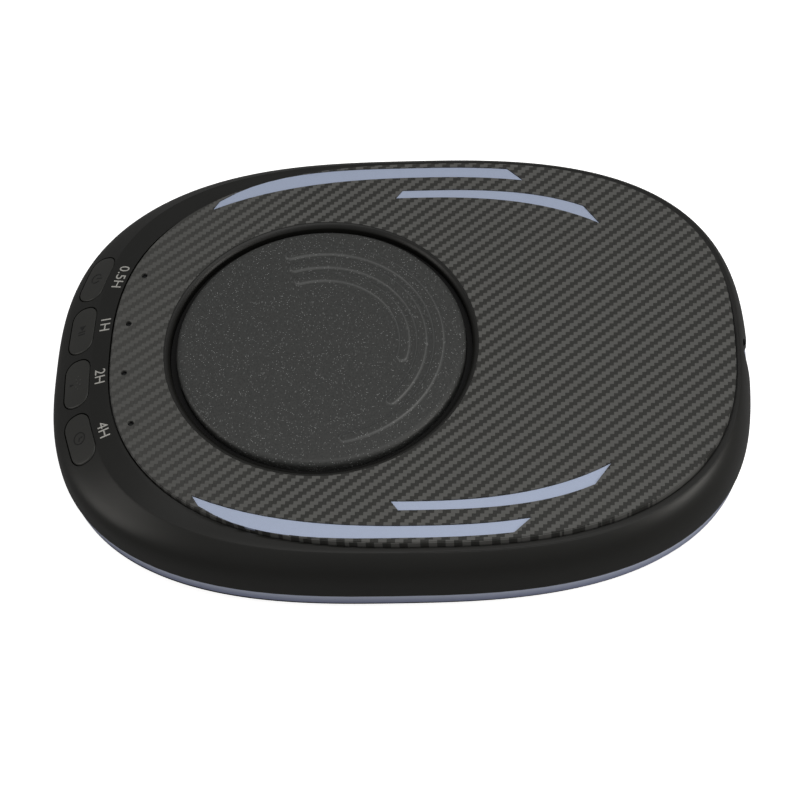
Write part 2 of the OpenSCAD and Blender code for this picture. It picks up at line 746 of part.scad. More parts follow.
// Place of key k in the control board's own frame.
function board_place(k) = let (d = key_centre(k) - key_row)
    [d[0], d[1] * cos(key_tilt) + d[2] * sin(key_tilt), d * key_axis];

module at_board() {
    translate(key_row) rotate([key_tilt, 0, 0]) children();
}

module at_key(k) {
    translate(key_centre(k)) rotate([key_tilt, 0, 0]) rotate(key_angle(k) + 90) children();
}

module key_shape(grow = 0) {
    x = key_length / 2 - key_corner;
    y = key_width / 2 - key_corner;
    hull() for (sx = [-x, x], sy = [-y, y])
        translate([sx, sy]) circle(key_corner + grow, $fn = 48);
}

skin_steps = 8;
skin_to = 0.5;

// The shoulder's own surface over key k, raised by the key's stand.
module key_skin(k) {
    near = [for (a = ring_angles)
        if (sin(a) < 0 && abs(outline_point(crease_outline, a)[0] - key_x(k)) < key_length) a];
    slab([for (a = near) [for (j = [0 : skin_steps])
        shoulder_point(a, skin_to * j / skin_steps) + key_axis * key_proud]],
        -key_axis * (key_skin_depth + key_proud));
}

module key_cap(k) color("#232322") {
    plunger_top = -board_depth - board_place(k)[2] + switch_height + plunger_rise;
    intersection() {
        at_key(k) translate([0, 0, -8]) linear_extrude(14) key_shape();
        key_skin(k);
    }
    at_key(k) {
        translate([0, 0, key_flange_top - key_flange])
            linear_extrude(key_core_top - key_flange_top + key_flange) key_shape(-1);
        translate([0, 0, key_flange_top - key_flange]) linear_extrude(key_flange) key_shape(key_flange);
        translate([0, 0, plunger_top])
            cylinder(d = stem_d, h = key_core_top - plunger_top, $fn = 32);
    }
}

module plunger(k) color("#e8e6df") at_key(k)
    translate([0, 0, -board_depth - board_place(k)[2] + switch_height - plunger_depth])
        cylinder(d = plunger_d, h = plunger_depth + plunger_rise, $fn = 32);

module power_key() key_cap(0);
module pause_key() key_cap(1);
module heat_key() key_cap(2);
module timer_key() key_cap(3);
module power_plunger() plunger(0);
module pause_plunger() plunger(1);
module heat_plunger() plunger(2);
module timer_plunger() plunger(3);

// ---- Control board, under the keys -----------------------------------------------------------

control_screw_places = [[-28, 10.6], [0, 9.8], [28, 10.6]];
control_post_top = -4.5;

module at_control_screws() {
    at_board() for (p = control_screw_places)
        translate([p[0], p[1], -board_depth]) children();
}

module control_posts() {
    at_control_screws() difference() {
        cylinder(d = post_d, h = board_depth + control_post_top, $fn = 24);
        translate([0, 0, -1]) cylinder(d = pilot_d, h = board_depth + control_post_top - 1, $fn = 24);
    }
}

module control_board() color("#1f5a3a") difference() {
    at_board() translate([0, 0, -board_depth - board]) linear_extrude(board)
        polygon([[-53, 14], [53, 14], [53, -2], [38, -8], [-38, -8], [-53, -2]]);
    at_control_screws() translate([0, 0, -board - 1])
        cylinder(d = screw_hole_d, h = board + 2, $fn = 24);
}

module control_screws() color("#b9bcc0") at_control_screws() translate([0, 0, -board]) screw(board + 6);

module key_switches() color("#2e2e30") for (k = [0 : 3])
    at_board() translate([board_place(k)[0], board_place(k)[1], -board_depth]) difference() {
        translate([-switch_size / 2, -switch_size / 2, 0]) cube([switch_size, switch_size, switch_height]);
        translate([0, 0, 0.8]) cylinder(d = plunger_d + 2 * slip, h = switch_height, $fn = 32);
    }

// ---- Lamp board, under the panel's front edge ------------------------------------------------

lamp_height = 1.1;
pipe_head = 1.2;
pipe_head_d = 4;
pipe_recess = 1.2;
lamp_board_top = floor_under - lamp_height - slip;
lamp_board_depth = 12;
lamp_board_width = 3 * lamp_pitch + 12;
lamp_board_rear = -106.5;
lamp_screw_x = lamp_pitch;
lamp_size = 3;

module at_lamp_screws() {
    for (x = [-lamp_screw_x, lamp_screw_x])
        translate([x, lamp_board_rear - lamp_board_depth / 2, 0]) children();
}

module lamp_board() color("#1f5a3a") difference() {
    translate([-lamp_board_width / 2, lamp_board_rear - lamp_board_depth, lamp_board_top - board])
        cube([lamp_board_width, lamp_board_depth, board]);
    at_lamp_screws() cylinder(d = screw_hole_d, h = panel_height, $fn = 24);
    at_control_screws() cylinder(d = post_d + 2 * slip, h = 2 * board_depth, $fn = 24);
}

module lamp_screws() color("#b9bcc0") at_lamp_screws()
    translate([0, 0, lamp_board_top - board]) screw(board + lamp_height);

module lamps() color("#f2efe2") at_lamps()
    translate([-lamp_size / 2, -lamp_size / 2, lamp_board_top]) cube([lamp_size, lamp_size, lamp_height]);

module light_pipes() color("#dfe3e6") at_lamps() {
    translate([0, 0, floor_under]) cylinder(d = pipe_head_d, h = pipe_head, $fn = 24);
    translate([0, 0, floor_under])
        cylinder(d = lamp_hole_d - 0.2, h = panel_height - pipe_recess - floor_under, $fn = 24);
}

// ---- Power board and inlet -------------------------------------------------------------------

power_board_bottom = base_floor + power_board_lift;
power_board_top = power_board_bottom + board;
terminal_size = [16, 10, 10];
connector_size = [16, 8, 10];
terminal_front = power_board_y - power_board_length / 2 + 2;
connector_rear = power_board_y + power_board_length / 2 - 5;

module power_board() color("#1f5a3a") difference() {
    translate([-power_board_width / 2, power_board_y - power_board_length / 2, power_board_bottom])
        cube([power_board_width, power_board_length, board]);
    at_power_board_screws() cylinder(d = screw_hole_d, h = panel_height, $fn = 24);
}

module power_board_screws() color("#b9bcc0") at_power_board_screws()
    translate([0, 0, power_board_top]) mirror([0, 0, 1]) screw(board + 5);

module transformer() color("#c8a24a") translate([-30, power_board_y - 1, power_board_top]) {
    translate([-10, -13, 0]) cube([20, 26, 4]);
    translate([-7, -12, 3.9]) cube([14, 24, 9]);
    translate([-10, -13, 12.8]) cube([20, 26, 4]);
}

module capacitor() color("#27306b") translate([14, power_board_y - 8, power_board_top])
    cylinder(d = 12.5, h = 18, $fn = 48);

module relay() color("#2a4d86") translate([26, power_board_y - 6, power_board_top]) cube([15.5, 19, 15.5]);

module terminal_block() color("#3c7a4a")
    translate([-terminal_size[0] / 2, terminal_front, power_board_top]) cube(terminal_size);

module mains_connector() color("#e6e4dc")
    translate([-connector_size[0] / 2, connector_rear - connector_size[1], power_board_top])
        cube(connector_size);

pin_d = 2.4;
pin_pitch = 8.6;
socket_d = 7.6;
socket_depth = 12;
inlet_flange = 1.7;
inlet_flange_rim = 1.6;

module inlet_socket_shape() {
    for (x = [-pin_pitch / 2, pin_pitch / 2])
        translate([x, 0]) circle(d = socket_d, $fn = 48);
    square([pin_pitch, socket_d - 1], center = true);
}

module power_inlet() color("#161616") translate([0, inlet_face, inlet_z]) rotate([90, 0, 0]) difference() {
    union() {
        linear_extrude(inlet_length) square([inlet_width, inlet_height], center = true);
        translate([0, 0, inlet_face - scoop_pad_front + slip]) linear_extrude(inlet_flange)
            square([inlet_width + 2 * inlet_flange_rim, inlet_height + 2 * inlet_flange_rim], center = true);
    }
    translate([0, 0, -1]) linear_extrude(socket_depth + 1) inlet_socket_shape();
}

module inlet_pins() color("#c9ccd0") translate([0, inlet_face - socket_depth, inlet_z])
    for (x = [-pin_pitch / 2, pin_pitch / 2])
        translate([x, 0, 0]) rotate([-90, 0, 0]) cylinder(d = pin_d, h = socket_depth - 2, $fn = 32);

// ---- Wires -----------------------------------------------------------------------------------

lead_spread = 4.3;
heater_lead_route = [[0, 10, 33], [0, 10, 30.5], [0, 13, 29], [0, 30, 28.5], [0, 50, 28], [0, 56, 26.5],
    [0, 60, 22], [0, 61.5, 19.5], [0, 63.7, 19]];
inlet_lead_route = [[0, 125, 28.2], [0, 121, 28.2], [0, 113, 27.6], [0, 109.4, 26.4], [0, 109, 24]];
signal_cable_route = [[-34, -118, 27], [-34, -114, 23], [-34, -111, 12], [-34, -108, 7.5], [-34, -100, 6.4],
    [-34, -30, 6.4], [-34, 48, 6.4], [-34, 51, 7], [-34, 54, 9.4], [-34, 57.5, 12.2], [-34, 61.7, 12.7]];

module wire_pair(route) {
    for (x = [-lead_spread, lead_spread])
        wire([for (p = route) p + [x, 0, 0]], wire_d);
}

module heater_leads() color("#c23b32") wire_pair(heater_lead_route);
module inlet_leads() color("#5b4636") wire_pair(inlet_lead_route);
module signal_cable() color("#8d8f92") wire(signal_cable_route, wire_d);

top_shell();
inlaid_panel();
accent_strip_left_outer();
accent_strip_left_inner();
accent_strip_right_outer();
accent_strip_right_inner();
trim_band();
bottom_shell();
rubber_feet();
housing_screws();
hot_plate();
plate_gasket();
plate_retainer();
retainer_screws();
heater_disc();
insulation_disc();
pressure_plate();
plate_screws();
thermostat();
thermal_fuse();
temperature_probe();
heat_shield();
shield_screws();
power_key();
pause_key();
heat_key();
timer_key();
power_plunger();
pause_plunger();
heat_plunger();
timer_plunger();
key_switches();
control_board();
control_screws();
lamp_board();
lamp_screws();
lamps();
light_pipes();
power_board();
power_board_screws();
transformer();
capacitor();
relay();
terminal_block();
mains_connector();
power_inlet();
inlet_pins();
heater_leads();
inlet_leads();
signal_cable();
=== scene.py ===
"""Looks for a low oval stone warmer.

A round ribbed hot plate sits in a woven-pattern panel on a moulded black housing, with four keys and
their lettering on the front shoulder, four accent strips, and a blue trim band above the base.
"""

import json
import logging
import math
from collections.abc import Callable, Sequence
from dataclasses import dataclass, field
from enum import Enum

import bmesh
import bpy
import numpy as np
from mathutils import Matrix, Vector
from mathutils.bvhtree import BVHTree


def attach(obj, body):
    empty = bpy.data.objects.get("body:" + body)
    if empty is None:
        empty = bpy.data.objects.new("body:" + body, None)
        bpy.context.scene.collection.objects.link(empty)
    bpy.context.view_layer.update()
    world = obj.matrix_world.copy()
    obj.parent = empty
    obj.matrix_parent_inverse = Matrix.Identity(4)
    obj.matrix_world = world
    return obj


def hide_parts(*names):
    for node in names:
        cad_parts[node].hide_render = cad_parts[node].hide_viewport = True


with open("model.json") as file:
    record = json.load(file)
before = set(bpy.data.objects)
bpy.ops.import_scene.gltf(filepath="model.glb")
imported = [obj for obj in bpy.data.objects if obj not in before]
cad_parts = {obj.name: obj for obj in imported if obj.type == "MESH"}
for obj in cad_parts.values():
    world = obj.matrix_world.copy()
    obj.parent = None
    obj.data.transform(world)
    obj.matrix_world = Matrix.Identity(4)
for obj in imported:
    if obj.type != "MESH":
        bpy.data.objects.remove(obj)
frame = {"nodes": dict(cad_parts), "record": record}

MM = 0.001
LOG = logging.getLogger("stone_warmer")
HOUSING = "housing"
Socket = bpy.types.NodeSocket
Value = float | Socket
Point = tuple[float, float]
Triple = tuple[float, float, float]
Strip = list[tuple[Point, Point]]


def linear(colour: Sequence[float]) -> tuple[float, float, float, float]:
    """Turn an 8-bit display colour into a linear one.

    Args:
        colour: red, green and blue from 0 to 255.

    Returns:
        The linear colour with an alpha of 1.
    """
    parts = [c / 255 for c in colour]
    rgb = [c / 12.92 if c <= 0.04045 else ((c + 0.055) / 1.055) ** 2.4 for c in parts]
    return (rgb[0], rgb[1], rgb[2], 1.0)


def blend(x: float) -> float:
    """Return a smooth step from 0 to 1 as x goes from 0 to 1."""
    t = max(0.0, min(1.0, x))
    return t * t * (3 - 2 * t)


# ---- Node trees ------------------------------------------------------------------------------


class Graph:
    """A material's node tree, with short calls that add nodes and join them."""

    def __init__(self, name: str) -> None:
        """Start an empty material.

        Args:
            name: the material's name.
        """
        self.material = bpy.data.materials.new(name)
        self.material.use_nodes = True
        self.tree = self.material.node_tree
        self.tree.nodes.clear()
        self.output = self.tree.nodes.new("ShaderNodeOutputMaterial")

    def add(self, kind: str, **settings: object) -> bpy.types.Node:
        """Add a node.

        Args:
            kind: the node's type name.
            settings: attributes to set on it.

        Returns:
            The new node.
        """
        node = self.tree.nodes.new(kind)
        for name, value in settings.items():
            setattr(node, name, value)
        return node

    def put(self, socket: Socket, value: object) -> None:
        """Join a socket to another, or set its value."""
        if isinstance(value, bpy.types.NodeSocket):
            self.tree.links.new(value, socket)
        else:
            socket.default_value = value

    def math(self, operation: str, *values: Value, clamp: bool = False) -> Socket:
        """Add a math node.

        Args:
            operation: the operation's name.
            values: its inputs, numbers or sockets.
            clamp: whether the result is held between 0 and 1.

        Returns:
            The result's socket.
        """
        node = self.add("ShaderNodeMath", operation=operation, use_clamp=clamp)
        for socket, value in zip(node.inputs, values):
            self.put(socket, value)
        return node.outputs[0]

    def place(self) -> Socket:
        """Return the object coordinates."""
        return self.add("ShaderNodeTexCoord").outputs["Object"]

    def axes(self, place: Socket) -> tuple[Socket, Socket, Socket]:
        """Split a vector socket into its three parts."""
        node = self.add("ShaderNodeSeparateXYZ")
        self.put(node.inputs[0], place)
        return (node.outputs[0], node.outputs[1], node.outputs[2])

    def vector(self, x: Value, y: Value, z: Value) -> Socket:
        """Join three numbers or sockets into a vector socket."""
        node = self.add("ShaderNodeCombineXYZ")
        for socket, value in zip(node.inputs, (x, y, z)):
            self.put(socket, value)
        return node.outputs[0]

    def noise(self, size_mm: float, place: Socket, detail: float = 3.0) -> Socket:
        """Add noise.

        Args:
            size_mm: the size of its blobs.
            place: the coordinates that it reads.
            detail: its levels of detail.

        Returns:
            The noise's value, about 0.5 on average.
        """
        node = self.add("ShaderNodeTexNoise")
        self.put(node.inputs["Vector"], place)
        node.inputs["Scale"].default_value = 1 / (size_mm * MM)
        node.inputs["Detail"].default_value = detail
        return node.outputs["Fac"]

    def spread(self, value: Socket, low: float, high: float, to_low: float, to_high: float) -> Socket:
        """Map a value from one range to another, held inside it."""
        node = self.add("ShaderNodeMapRange")
        for socket, number in zip(node.inputs, (value, low, high, to_low, to_high)):
            self.put(socket, number)
        return node.outputs[0]

    def mix(self, share: Socket, first: object, second: object) -> Socket:
        """Mix two colours by a share from 0 to 1."""
        node = self.add("ShaderNodeMix", data_type="RGBA")
        self.put(node.inputs["Factor"], share)
        self.put(node.inputs[6], first)
        self.put(node.inputs[7], second)
        return node.outputs[2]

    def bump(self, height: Socket, depth_mm: float, strength: float = 1.0) -> Socket:
        """Turn a height from 0 to 1 into a normal.

        Args:
            height: the height.
            depth_mm: the real depth of a height of 1.
            strength: how much of the bump shows.

        Returns:
            The normal's socket.
        """
        node = self.add("ShaderNodeBump")
        node.inputs["Strength"].default_value = strength
        node.inputs["Distance"].default_value = depth_mm * MM
        self.put(node.inputs["Height"], height)
        return node.outputs[0]

    def surface(self, **inputs: object) -> bpy.types.Material:
        """Finish the material with a principled surface.

        Args:
            inputs: the surface's sockets by name, with underscores for spaces.

        Returns:
            The material.
        """
        node = self.add("ShaderNodeBsdfPrincipled")
        for name, value in inputs.items():
            self.put(node.inputs[name.replace("_", " ")], value)
        self.put(self.output.inputs["Surface"], node.outputs[0])
        return self.material


@dataclass(frozen=True)
class Moulded:
    """A plain finish with a fine grain and slight changes of tone: plastic, rubber or metal."""

    name: str
    colour: tuple[int, int, int]
    roughness: float = 0.45
    metallic: float = 0.0
    specular: float = 0.5
    grain_mm: float = 0.35
    grain_depth_mm: float = 0.01
    mottle: float = 0.1
    stretch: tuple[float, float, float] = (1.0, 1.0, 1.0)

    def build(self) -> bpy.types.Material:
        """Return the material."""
        g = Graph(self.name)
        x, y, z = g.axes(g.place())
        place = g.vector(*[g.math("MULTIPLY", v, s) for v, s in zip((x, y, z), self.stretch)])
        grain = g.noise(self.grain_mm, place)
        cloud = g.noise(30.0, place, 2.0)
        base = linear(self.colour)
        dark = tuple(c * (1 - self.mottle) for c in base[:3]) + (1.0,)
        light = tuple(min(1.0, c * (1 + self.mottle)) for c in base[:3]) + (1.0,)
        tone = g.math("ADD", g.math("MULTIPLY", grain, 0.5), g.math("MULTIPLY", cloud, 0.5))
        return g.surface(
            Base_Color=g.mix(g.spread(tone, 0.35, 0.65, 0.0, 1.0), dark, light),
            Roughness=g.spread(grain, 0.3, 0.7, self.roughness - 0.04, self.roughness + 0.04),
            Metallic=self.metallic,
            Specular_IOR_Level=self.specular,
            Normal=g.bump(grain, self.grain_depth_mm),
        )


@dataclass(frozen=True)
class WovenLaminate:
    """A two-by-two twill of flat tows under a satin coat, with painted shade on the tows and a painted sheen
    that fades the weave towards the front.
    """

    name: str = "panel_weave"
    light: tuple[int, int, int] = (94, 94, 92)
    dark: tuple[int, int, int] = (52, 52, 50)
    tow_x_mm: float = 1.5625
    tow_y_mm: float = 1.667
    turn_deg: float = -2.0
    sheen_fade_from_y_mm: float = -135.0
    sheen_fade_to_y_mm: float = -40.0
    roughness: float = 0.5

    def build(self) -> bpy.types.Material:
        """Return the material."""
        g = Graph(self.name)
        place = g.place()
        x, y, _ = g.axes(place)
        c, s = math.cos(math.radians(self.turn_deg)), math.sin(math.radians(self.turn_deg))
        tow_x, tow_y = self.tow_x_mm * MM, self.tow_y_mm * MM
        u = g.math("ADD", g.math("MULTIPLY", x, c / tow_x), g.math("MULTIPLY", y, s / tow_x))
        v = g.math("SUBTRACT", g.math("MULTIPLY", y, c / tow_y), g.math("MULTIPLY", x, s / tow_y))
        step = g.math("ADD", g.math("FLOOR", u), g.math("FLOOR", v))
        over = g.math("LESS_THAN", g.math("FLOORED_MODULO", step, 4.0), 1.5)
        fu, fv = g.math("FRACT", u), g.math("FRACT", v)
        round_u = g.math("MULTIPLY", g.math("MULTIPLY", fu, g.math("SUBTRACT", 1.0, fu)), 4.0)
        round_v = g.math("MULTIPLY", g.math("MULTIPLY", fv, g.math("SUBTRACT", 1.0, fv)), 4.0)
        along_x = g.noise(0.22, g.vector(g.math("MULTIPLY", x, 0.08), y, 0.0), 2.0)
        along_y = g.noise(0.22, g.vector(x, g.math("MULTIPLY", y, 0.08), 0.0), 2.0)
        crown = g.add("ShaderNodeMix", data_type="FLOAT")
        g.put(crown.inputs["Factor"], over)
        g.put(crown.inputs[2], round_v)
        g.put(crown.inputs[3], round_u)
        fibre = g.add("ShaderNodeMix", data_type="FLOAT")
        g.put(fibre.inputs["Factor"], over)
        g.put(fibre.inputs[2], along_x)
        g.put(fibre.inputs[3], along_y)
        crest = g.math("POWER", crown.outputs[0], 0.5)
        height = g.math("ADD", crest, g.math("MULTIPLY", fibre.outputs[0], 0.3))
        streak = g.spread(fibre.outputs[0], 0.3, 0.7, -0.12, 0.12)
        # Painted shade and highlight: each tow is darker at its edges and slightly lighter on its crown, on
        # top of the fibre streaks.
        tow_shade_and_fibre_streak = g.math("ADD", streak, g.spread(crown.outputs[0], 0.0, 0.6, -0.1, 0.04))
        # Painted sheen: the weave's contrast fades towards the front, standing in for the glancing
        # reflection that washes it out there.
        sheen_washed_contrast = g.spread(y, self.sheen_fade_from_y_mm * MM, self.sheen_fade_to_y_mm * MM, 0.22, 1.0)
        pattern = g.math("MULTIPLY", g.math("SUBTRACT", over, 0.5), sheen_washed_contrast)
        tone = g.math("ADD", 0.5, g.math("MULTIPLY", tow_shade_and_fibre_streak, 0.9))
        share = g.math("ADD", pattern, tone, clamp=True)
        return g.surface(
            Base_Color=g.mix(share, linear(self.dark), linear(self.light)),
            Roughness=g.spread(fibre.outputs[0], 0.3, 0.7, self.roughness - 0.05, self.roughness + 0.08),
            Specular_IOR_Level=0.25,
            Normal=g.bump(height, 0.02, 0.6),
        )


@dataclass(frozen=True)
class SparkleCoat:
    """A pebbly baked coat with small bright flecks, with an optional painted highlight that lightens steep
    slopes.
    """

    name: str = "plate_coat"
    colour: tuple[int, int, int] = (52, 53, 52)
    fleck: tuple[int, int, int] = (150, 152, 152)
    roughness: float = 0.5
    slope_highlight: float = 0.0

    def build(self) -> bpy.types.Material:
        """Return the material."""
        g = Graph(self.name)
        place = g.place()
        pebble = g.noise(0.9, place, 3.0)
        fine = g.noise(0.35, place, 2.0)
        cells = g.add("ShaderNodeTexVoronoi")
        g.put(cells.inputs["Vector"], place)
        cells.inputs["Scale"].default_value = 1 / (0.55 * MM)
        near = g.math("LESS_THAN", cells.outputs["Distance"], 0.33)
        red, green, _ = g.axes(cells.outputs["Color"])
        chosen = g.math("GREATER_THAN", red, 0.82)
        fleck = g.math("MULTIPLY", g.math("MULTIPLY", near, chosen), g.spread(green, 0.0, 1.0, 0.25, 1.0))
        base = linear(self.colour)
        dark = tuple(c * 0.72 for c in base[:3]) + (1.0,)
        light = tuple(c * 1.32 for c in base[:3]) + (1.0,)
        tone = g.math("ADD", g.math("MULTIPLY", pebble, 0.5), g.math("MULTIPLY", fine, 0.5))
        ground = g.mix(g.spread(tone, 0.38, 0.62, 0.0, 1.0), dark, light)
        # Painted highlight: steep slopes are mixed towards the fleck colour, standing in for the light that
        # catches the ribs' sides.
        if self.slope_highlight:
            _, _, upward = g.axes(g.add("ShaderNodeNewGeometry").outputs["Normal"])
            ground = g.mix(g.spread(upward, 0.35, 0.97, self.slope_highlight, 0.0), ground, linear(self.fleck))
        height = g.math("ADD", g.math("MULTIPLY", pebble, 0.7), g.math("MULTIPLY", fine, 0.3))
        return g.surface(
            Base_Color=g.mix(fleck, ground, linear(self.fleck)),
            Roughness=g.spread(tone, 0.35, 0.65, self.roughness - 0.08, self.roughness + 0.08),
            Specular_IOR_Level=0.5,
            Normal=g.bump(height, 0.09, 0.8),
        )


@dataclass(frozen=True)
class MetallicPaint:
    """A satin metallic paint with painted light: lighter above a given height, darker below it."""

    name: str
    low: tuple[int, int, int]
    high: tuple[int, int, int]
    from_z_mm: float
    to_z_mm: float
    roughness: float = 0.38
    metallic: float = 0.35

    def build(self) -> bpy.types.Material:
        """Return the material."""
        g = Graph(self.name)
        place = g.place()
        _, _, z = g.axes(place)
        flake = g.noise(0.15, place, 1.0)
        # Painted light: the colour runs from the low tone to the high tone with height, a painted highlight
        # on the upper faces and painted shade lower down.
        share = g.spread(z, self.from_z_mm * MM, self.to_z_mm * MM, 0.0, 1.0)
        tone = g.mix(share, linear(self.low), linear(self.high))
        bright = g.add("ShaderNodeHueSaturation")
        g.put(bright.inputs["Value"], g.spread(flake, 0.3, 0.7, 0.93, 1.07))
        g.put(bright.inputs["Color"], tone)
        return g.surface(
            Base_Color=bright.outputs[0],
            Roughness=g.spread(flake, 0.3, 0.7, self.roughness - 0.05, self.roughness + 0.05),
            Metallic=self.metallic,
            Normal=g.bump(flake, 0.004),
        )


# ---- Mesh helpers ----------------------------------------------------------------------------


def new_piece(
    name: str,
    points: Sequence[Sequence[float]],
    faces: Sequence[Sequence[int]],
    material: bpy.types.Material,
    body: str,
    smooth_deg: float = 35.0,
) -> bpy.types.Object:
    """Make a mesh object that rides on a body.

    Args:
        name: the piece's name.
        points: its points, in metres.
        faces: its faces, as lists of point numbers.
        material: its finish.
        body: the body that it rides on.
        smooth_deg: edges under this angle are shaded smooth.

    Returns:
        The object.
    """
    mesh = bpy.data.meshes.new(name)
    mesh.from_pydata([tuple(p) for p in points], [], [tuple(f) for f in faces])
    mesh.validate()
    tidy = bmesh.new()
    tidy.from_mesh(mesh)
    bmesh.ops.recalc_face_normals(tidy, faces=tidy.faces)
    tidy.to_mesh(mesh)
    tidy.free()
    mesh.polygons.foreach_set("use_smooth", [True] * len(mesh.polygons))
    mesh.set_sharp_from_angle(angle=math.radians(smooth_deg))
    mesh.materials.append(material)
    piece = bpy.data.objects.new(name, mesh)
    bpy.context.scene.collection.objects.link(piece)
    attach(piece, body)
    LOG.info("%s: %d faces on %s", name, len(mesh.polygons), body)
    return piece


@dataclass
class Patchwork:
    """Points and faces gathered from several closed parts."""

    points: list[tuple[float, float, float]] = field(default_factory=list)
    faces: list[tuple[int, ...]] = field(default_factory=list)

    def loft(self, rings: Sequence[Sequence[Sequence[float]]], capped: bool = True) -> None:
        """Join closed rings of equally many points, one after the other, with fans at both ends.

        Args:
            rings: the rings, each a list of points.
            capped: whether a fan closes each end.
        """
        start = len(self.points)
        size = len(rings[0])
        for ring in rings:
            self.points.extend(tuple(p) for p in ring)
        for i in range(len(rings) - 1):
            for j in range(size):
                k = (j + 1) % size
                a, b = start + i * size, start + (i + 1) * size
                self.faces.append((a + j, a + k, b + k, b + j))
        ends = ((start, rings[0]), (start + (len(rings) - 1) * size, rings[-1]))
        for first, ring in ends if capped else ():
            centre = len(self.points)
            self.points.append(tuple(np.mean(np.array(ring), axis=0)))
            self.faces.extend((first + j, first + (j + 1) % size, centre) for j in range(size))

    def swept(self, sections: Sequence[Sequence[Sequence[float]]]) -> None:
        """Join closed sections round a closed path.

        Args:
            sections: the sections, each a closed list of points, in order along the path.
        """
        start = len(self.points)
        size, count = len(sections[0]), len(sections)
        for section in sections:
            self.points.extend(tuple(p) for p in section)
        for i in range(count):
            for j in range(size):
                a, b, k = start + i * size, start + (i + 1) % count * size, (j + 1) % size
                self.faces.append((a + j, a + k, b + k, b + j))


def lathe(profile: Sequence[Point], centre: Point, count: int = 256) -> Patchwork:
    """Turn a closed profile about a vertical axis.

    Args:
        profile: radius and height of each point, in millimetres.
        centre: x and y of the axis, in millimetres.
        count: sections round the axis.

    Returns:
        The closed shape.
    """
    work = Patchwork()
    sections = []
    for i in range(count):
        c, s = math.cos(2 * math.pi * i / count), math.sin(2 * math.pi * i / count)
        section = [((centre[0] + r * c) * MM, (centre[1] + r * s) * MM, z * MM) for r, z in profile]
        sections.append(section)
    work.swept(sections)
    return work


def corner_arc(centre: Point, radius: float, from_deg: float, to_deg: float, steps: int) -> list[Point]:
    """Return points along an arc of a profile."""
    angles = [math.radians(from_deg + (to_deg - from_deg) * i / steps) for i in range(steps + 1)]
    return [(centre[0] + radius * math.cos(a), centre[1] + radius * math.sin(a)) for a in angles]


def rounded_rectangle(
    length: float, width: float, corner: float, arc_steps: int = 12, side_steps: int = 8
) -> list[Point]:
    """Return the points of a rounded rectangle, counter-clockwise.

    Args:
        length: its size along the first axis.
        width: its size along the second axis.
        corner: its corner radius.
        arc_steps: steps on each corner.
        side_steps: steps on each side.

    Returns:
        The points, with the same count for any size.
    """
    x, y = length / 2 - corner, width / 2 - corner
    points: list[Point] = []
    corners = [(x, y, 0), (-x, y, 90), (-x, -y, 180), (x, -y, 270)]
    for i, (cx, cy, start) in enumerate(corners):
        arc = corner_arc((cx, cy), corner, start, start + 90, arc_steps)
        nx, ny, turn = corners[(i + 1) % 4]
        following = corner_arc((nx, ny), corner, turn, turn + 90, arc_steps)[0]
        points += arc
        way_x, way_y = following[0] - arc[-1][0], following[1] - arc[-1][1]
        shares = [j / side_steps for j in range(1, side_steps)]
        points += [(arc[-1][0] + way_x * share, arc[-1][1] + way_y * share) for share in shares]
    return points


# ---- The housing's form ----------------------------------------------------------------------


@dataclass(frozen=True)
class Outline:
    """A plan outline made of superellipse quarters, in millimetres."""

    half_width: float
    front: float
    rear: float
    widest: float
    front_power: float
    rear_power: float

    def point(self, angle: float, grow: float = 0.0) -> np.ndarray:
        """Return the point whose outward normal has an angle, moved outwards.

        Args:
            angle: the normal's angle in radians.
            grow: how far the point is moved along it.

        Returns:
            x and y.
        """
        c, s = math.cos(angle), math.sin(angle)
        half, power = self.rear - self.widest, self.rear_power
        if s < 0:
            half, power = self.widest - self.front, self.front_power
        px = (self.half_width * abs(c)) ** (1 / (power - 1))
        py = (half * abs(s)) ** (1 / (power - 1))
        size = (self.half_width * abs(c) * px + half * abs(s) * py) ** (1 / power)
        return np.array([math.copysign(self.half_width * px / size, c) + grow * c,
                         self.widest + math.copysign(half * py / size, s) + grow * s])

    def front_angle(self, x: float) -> float:
        """Return the normal's angle on the front edge at a place x."""
        half, power = self.widest - self.front, self.front_power
        along = (1 - (abs(x) / self.half_width) ** power) ** (1 / power)
        nx = (abs(x) / self.half_width) ** (power - 1) / self.half_width
        return math.atan2(-(along ** (power - 1)) / half, math.copysign(nx, x))


def rounded_corner(
    start: np.ndarray, corner: np.ndarray, end: np.ndarray, shares: Sequence[float]
) -> list[np.ndarray]:
    """Return points of a curve that leaves start towards a corner and turns to end."""
    return [start * (1 - s) ** 2 + corner * 2 * s * (1 - s) + end * s * s for s in shares]


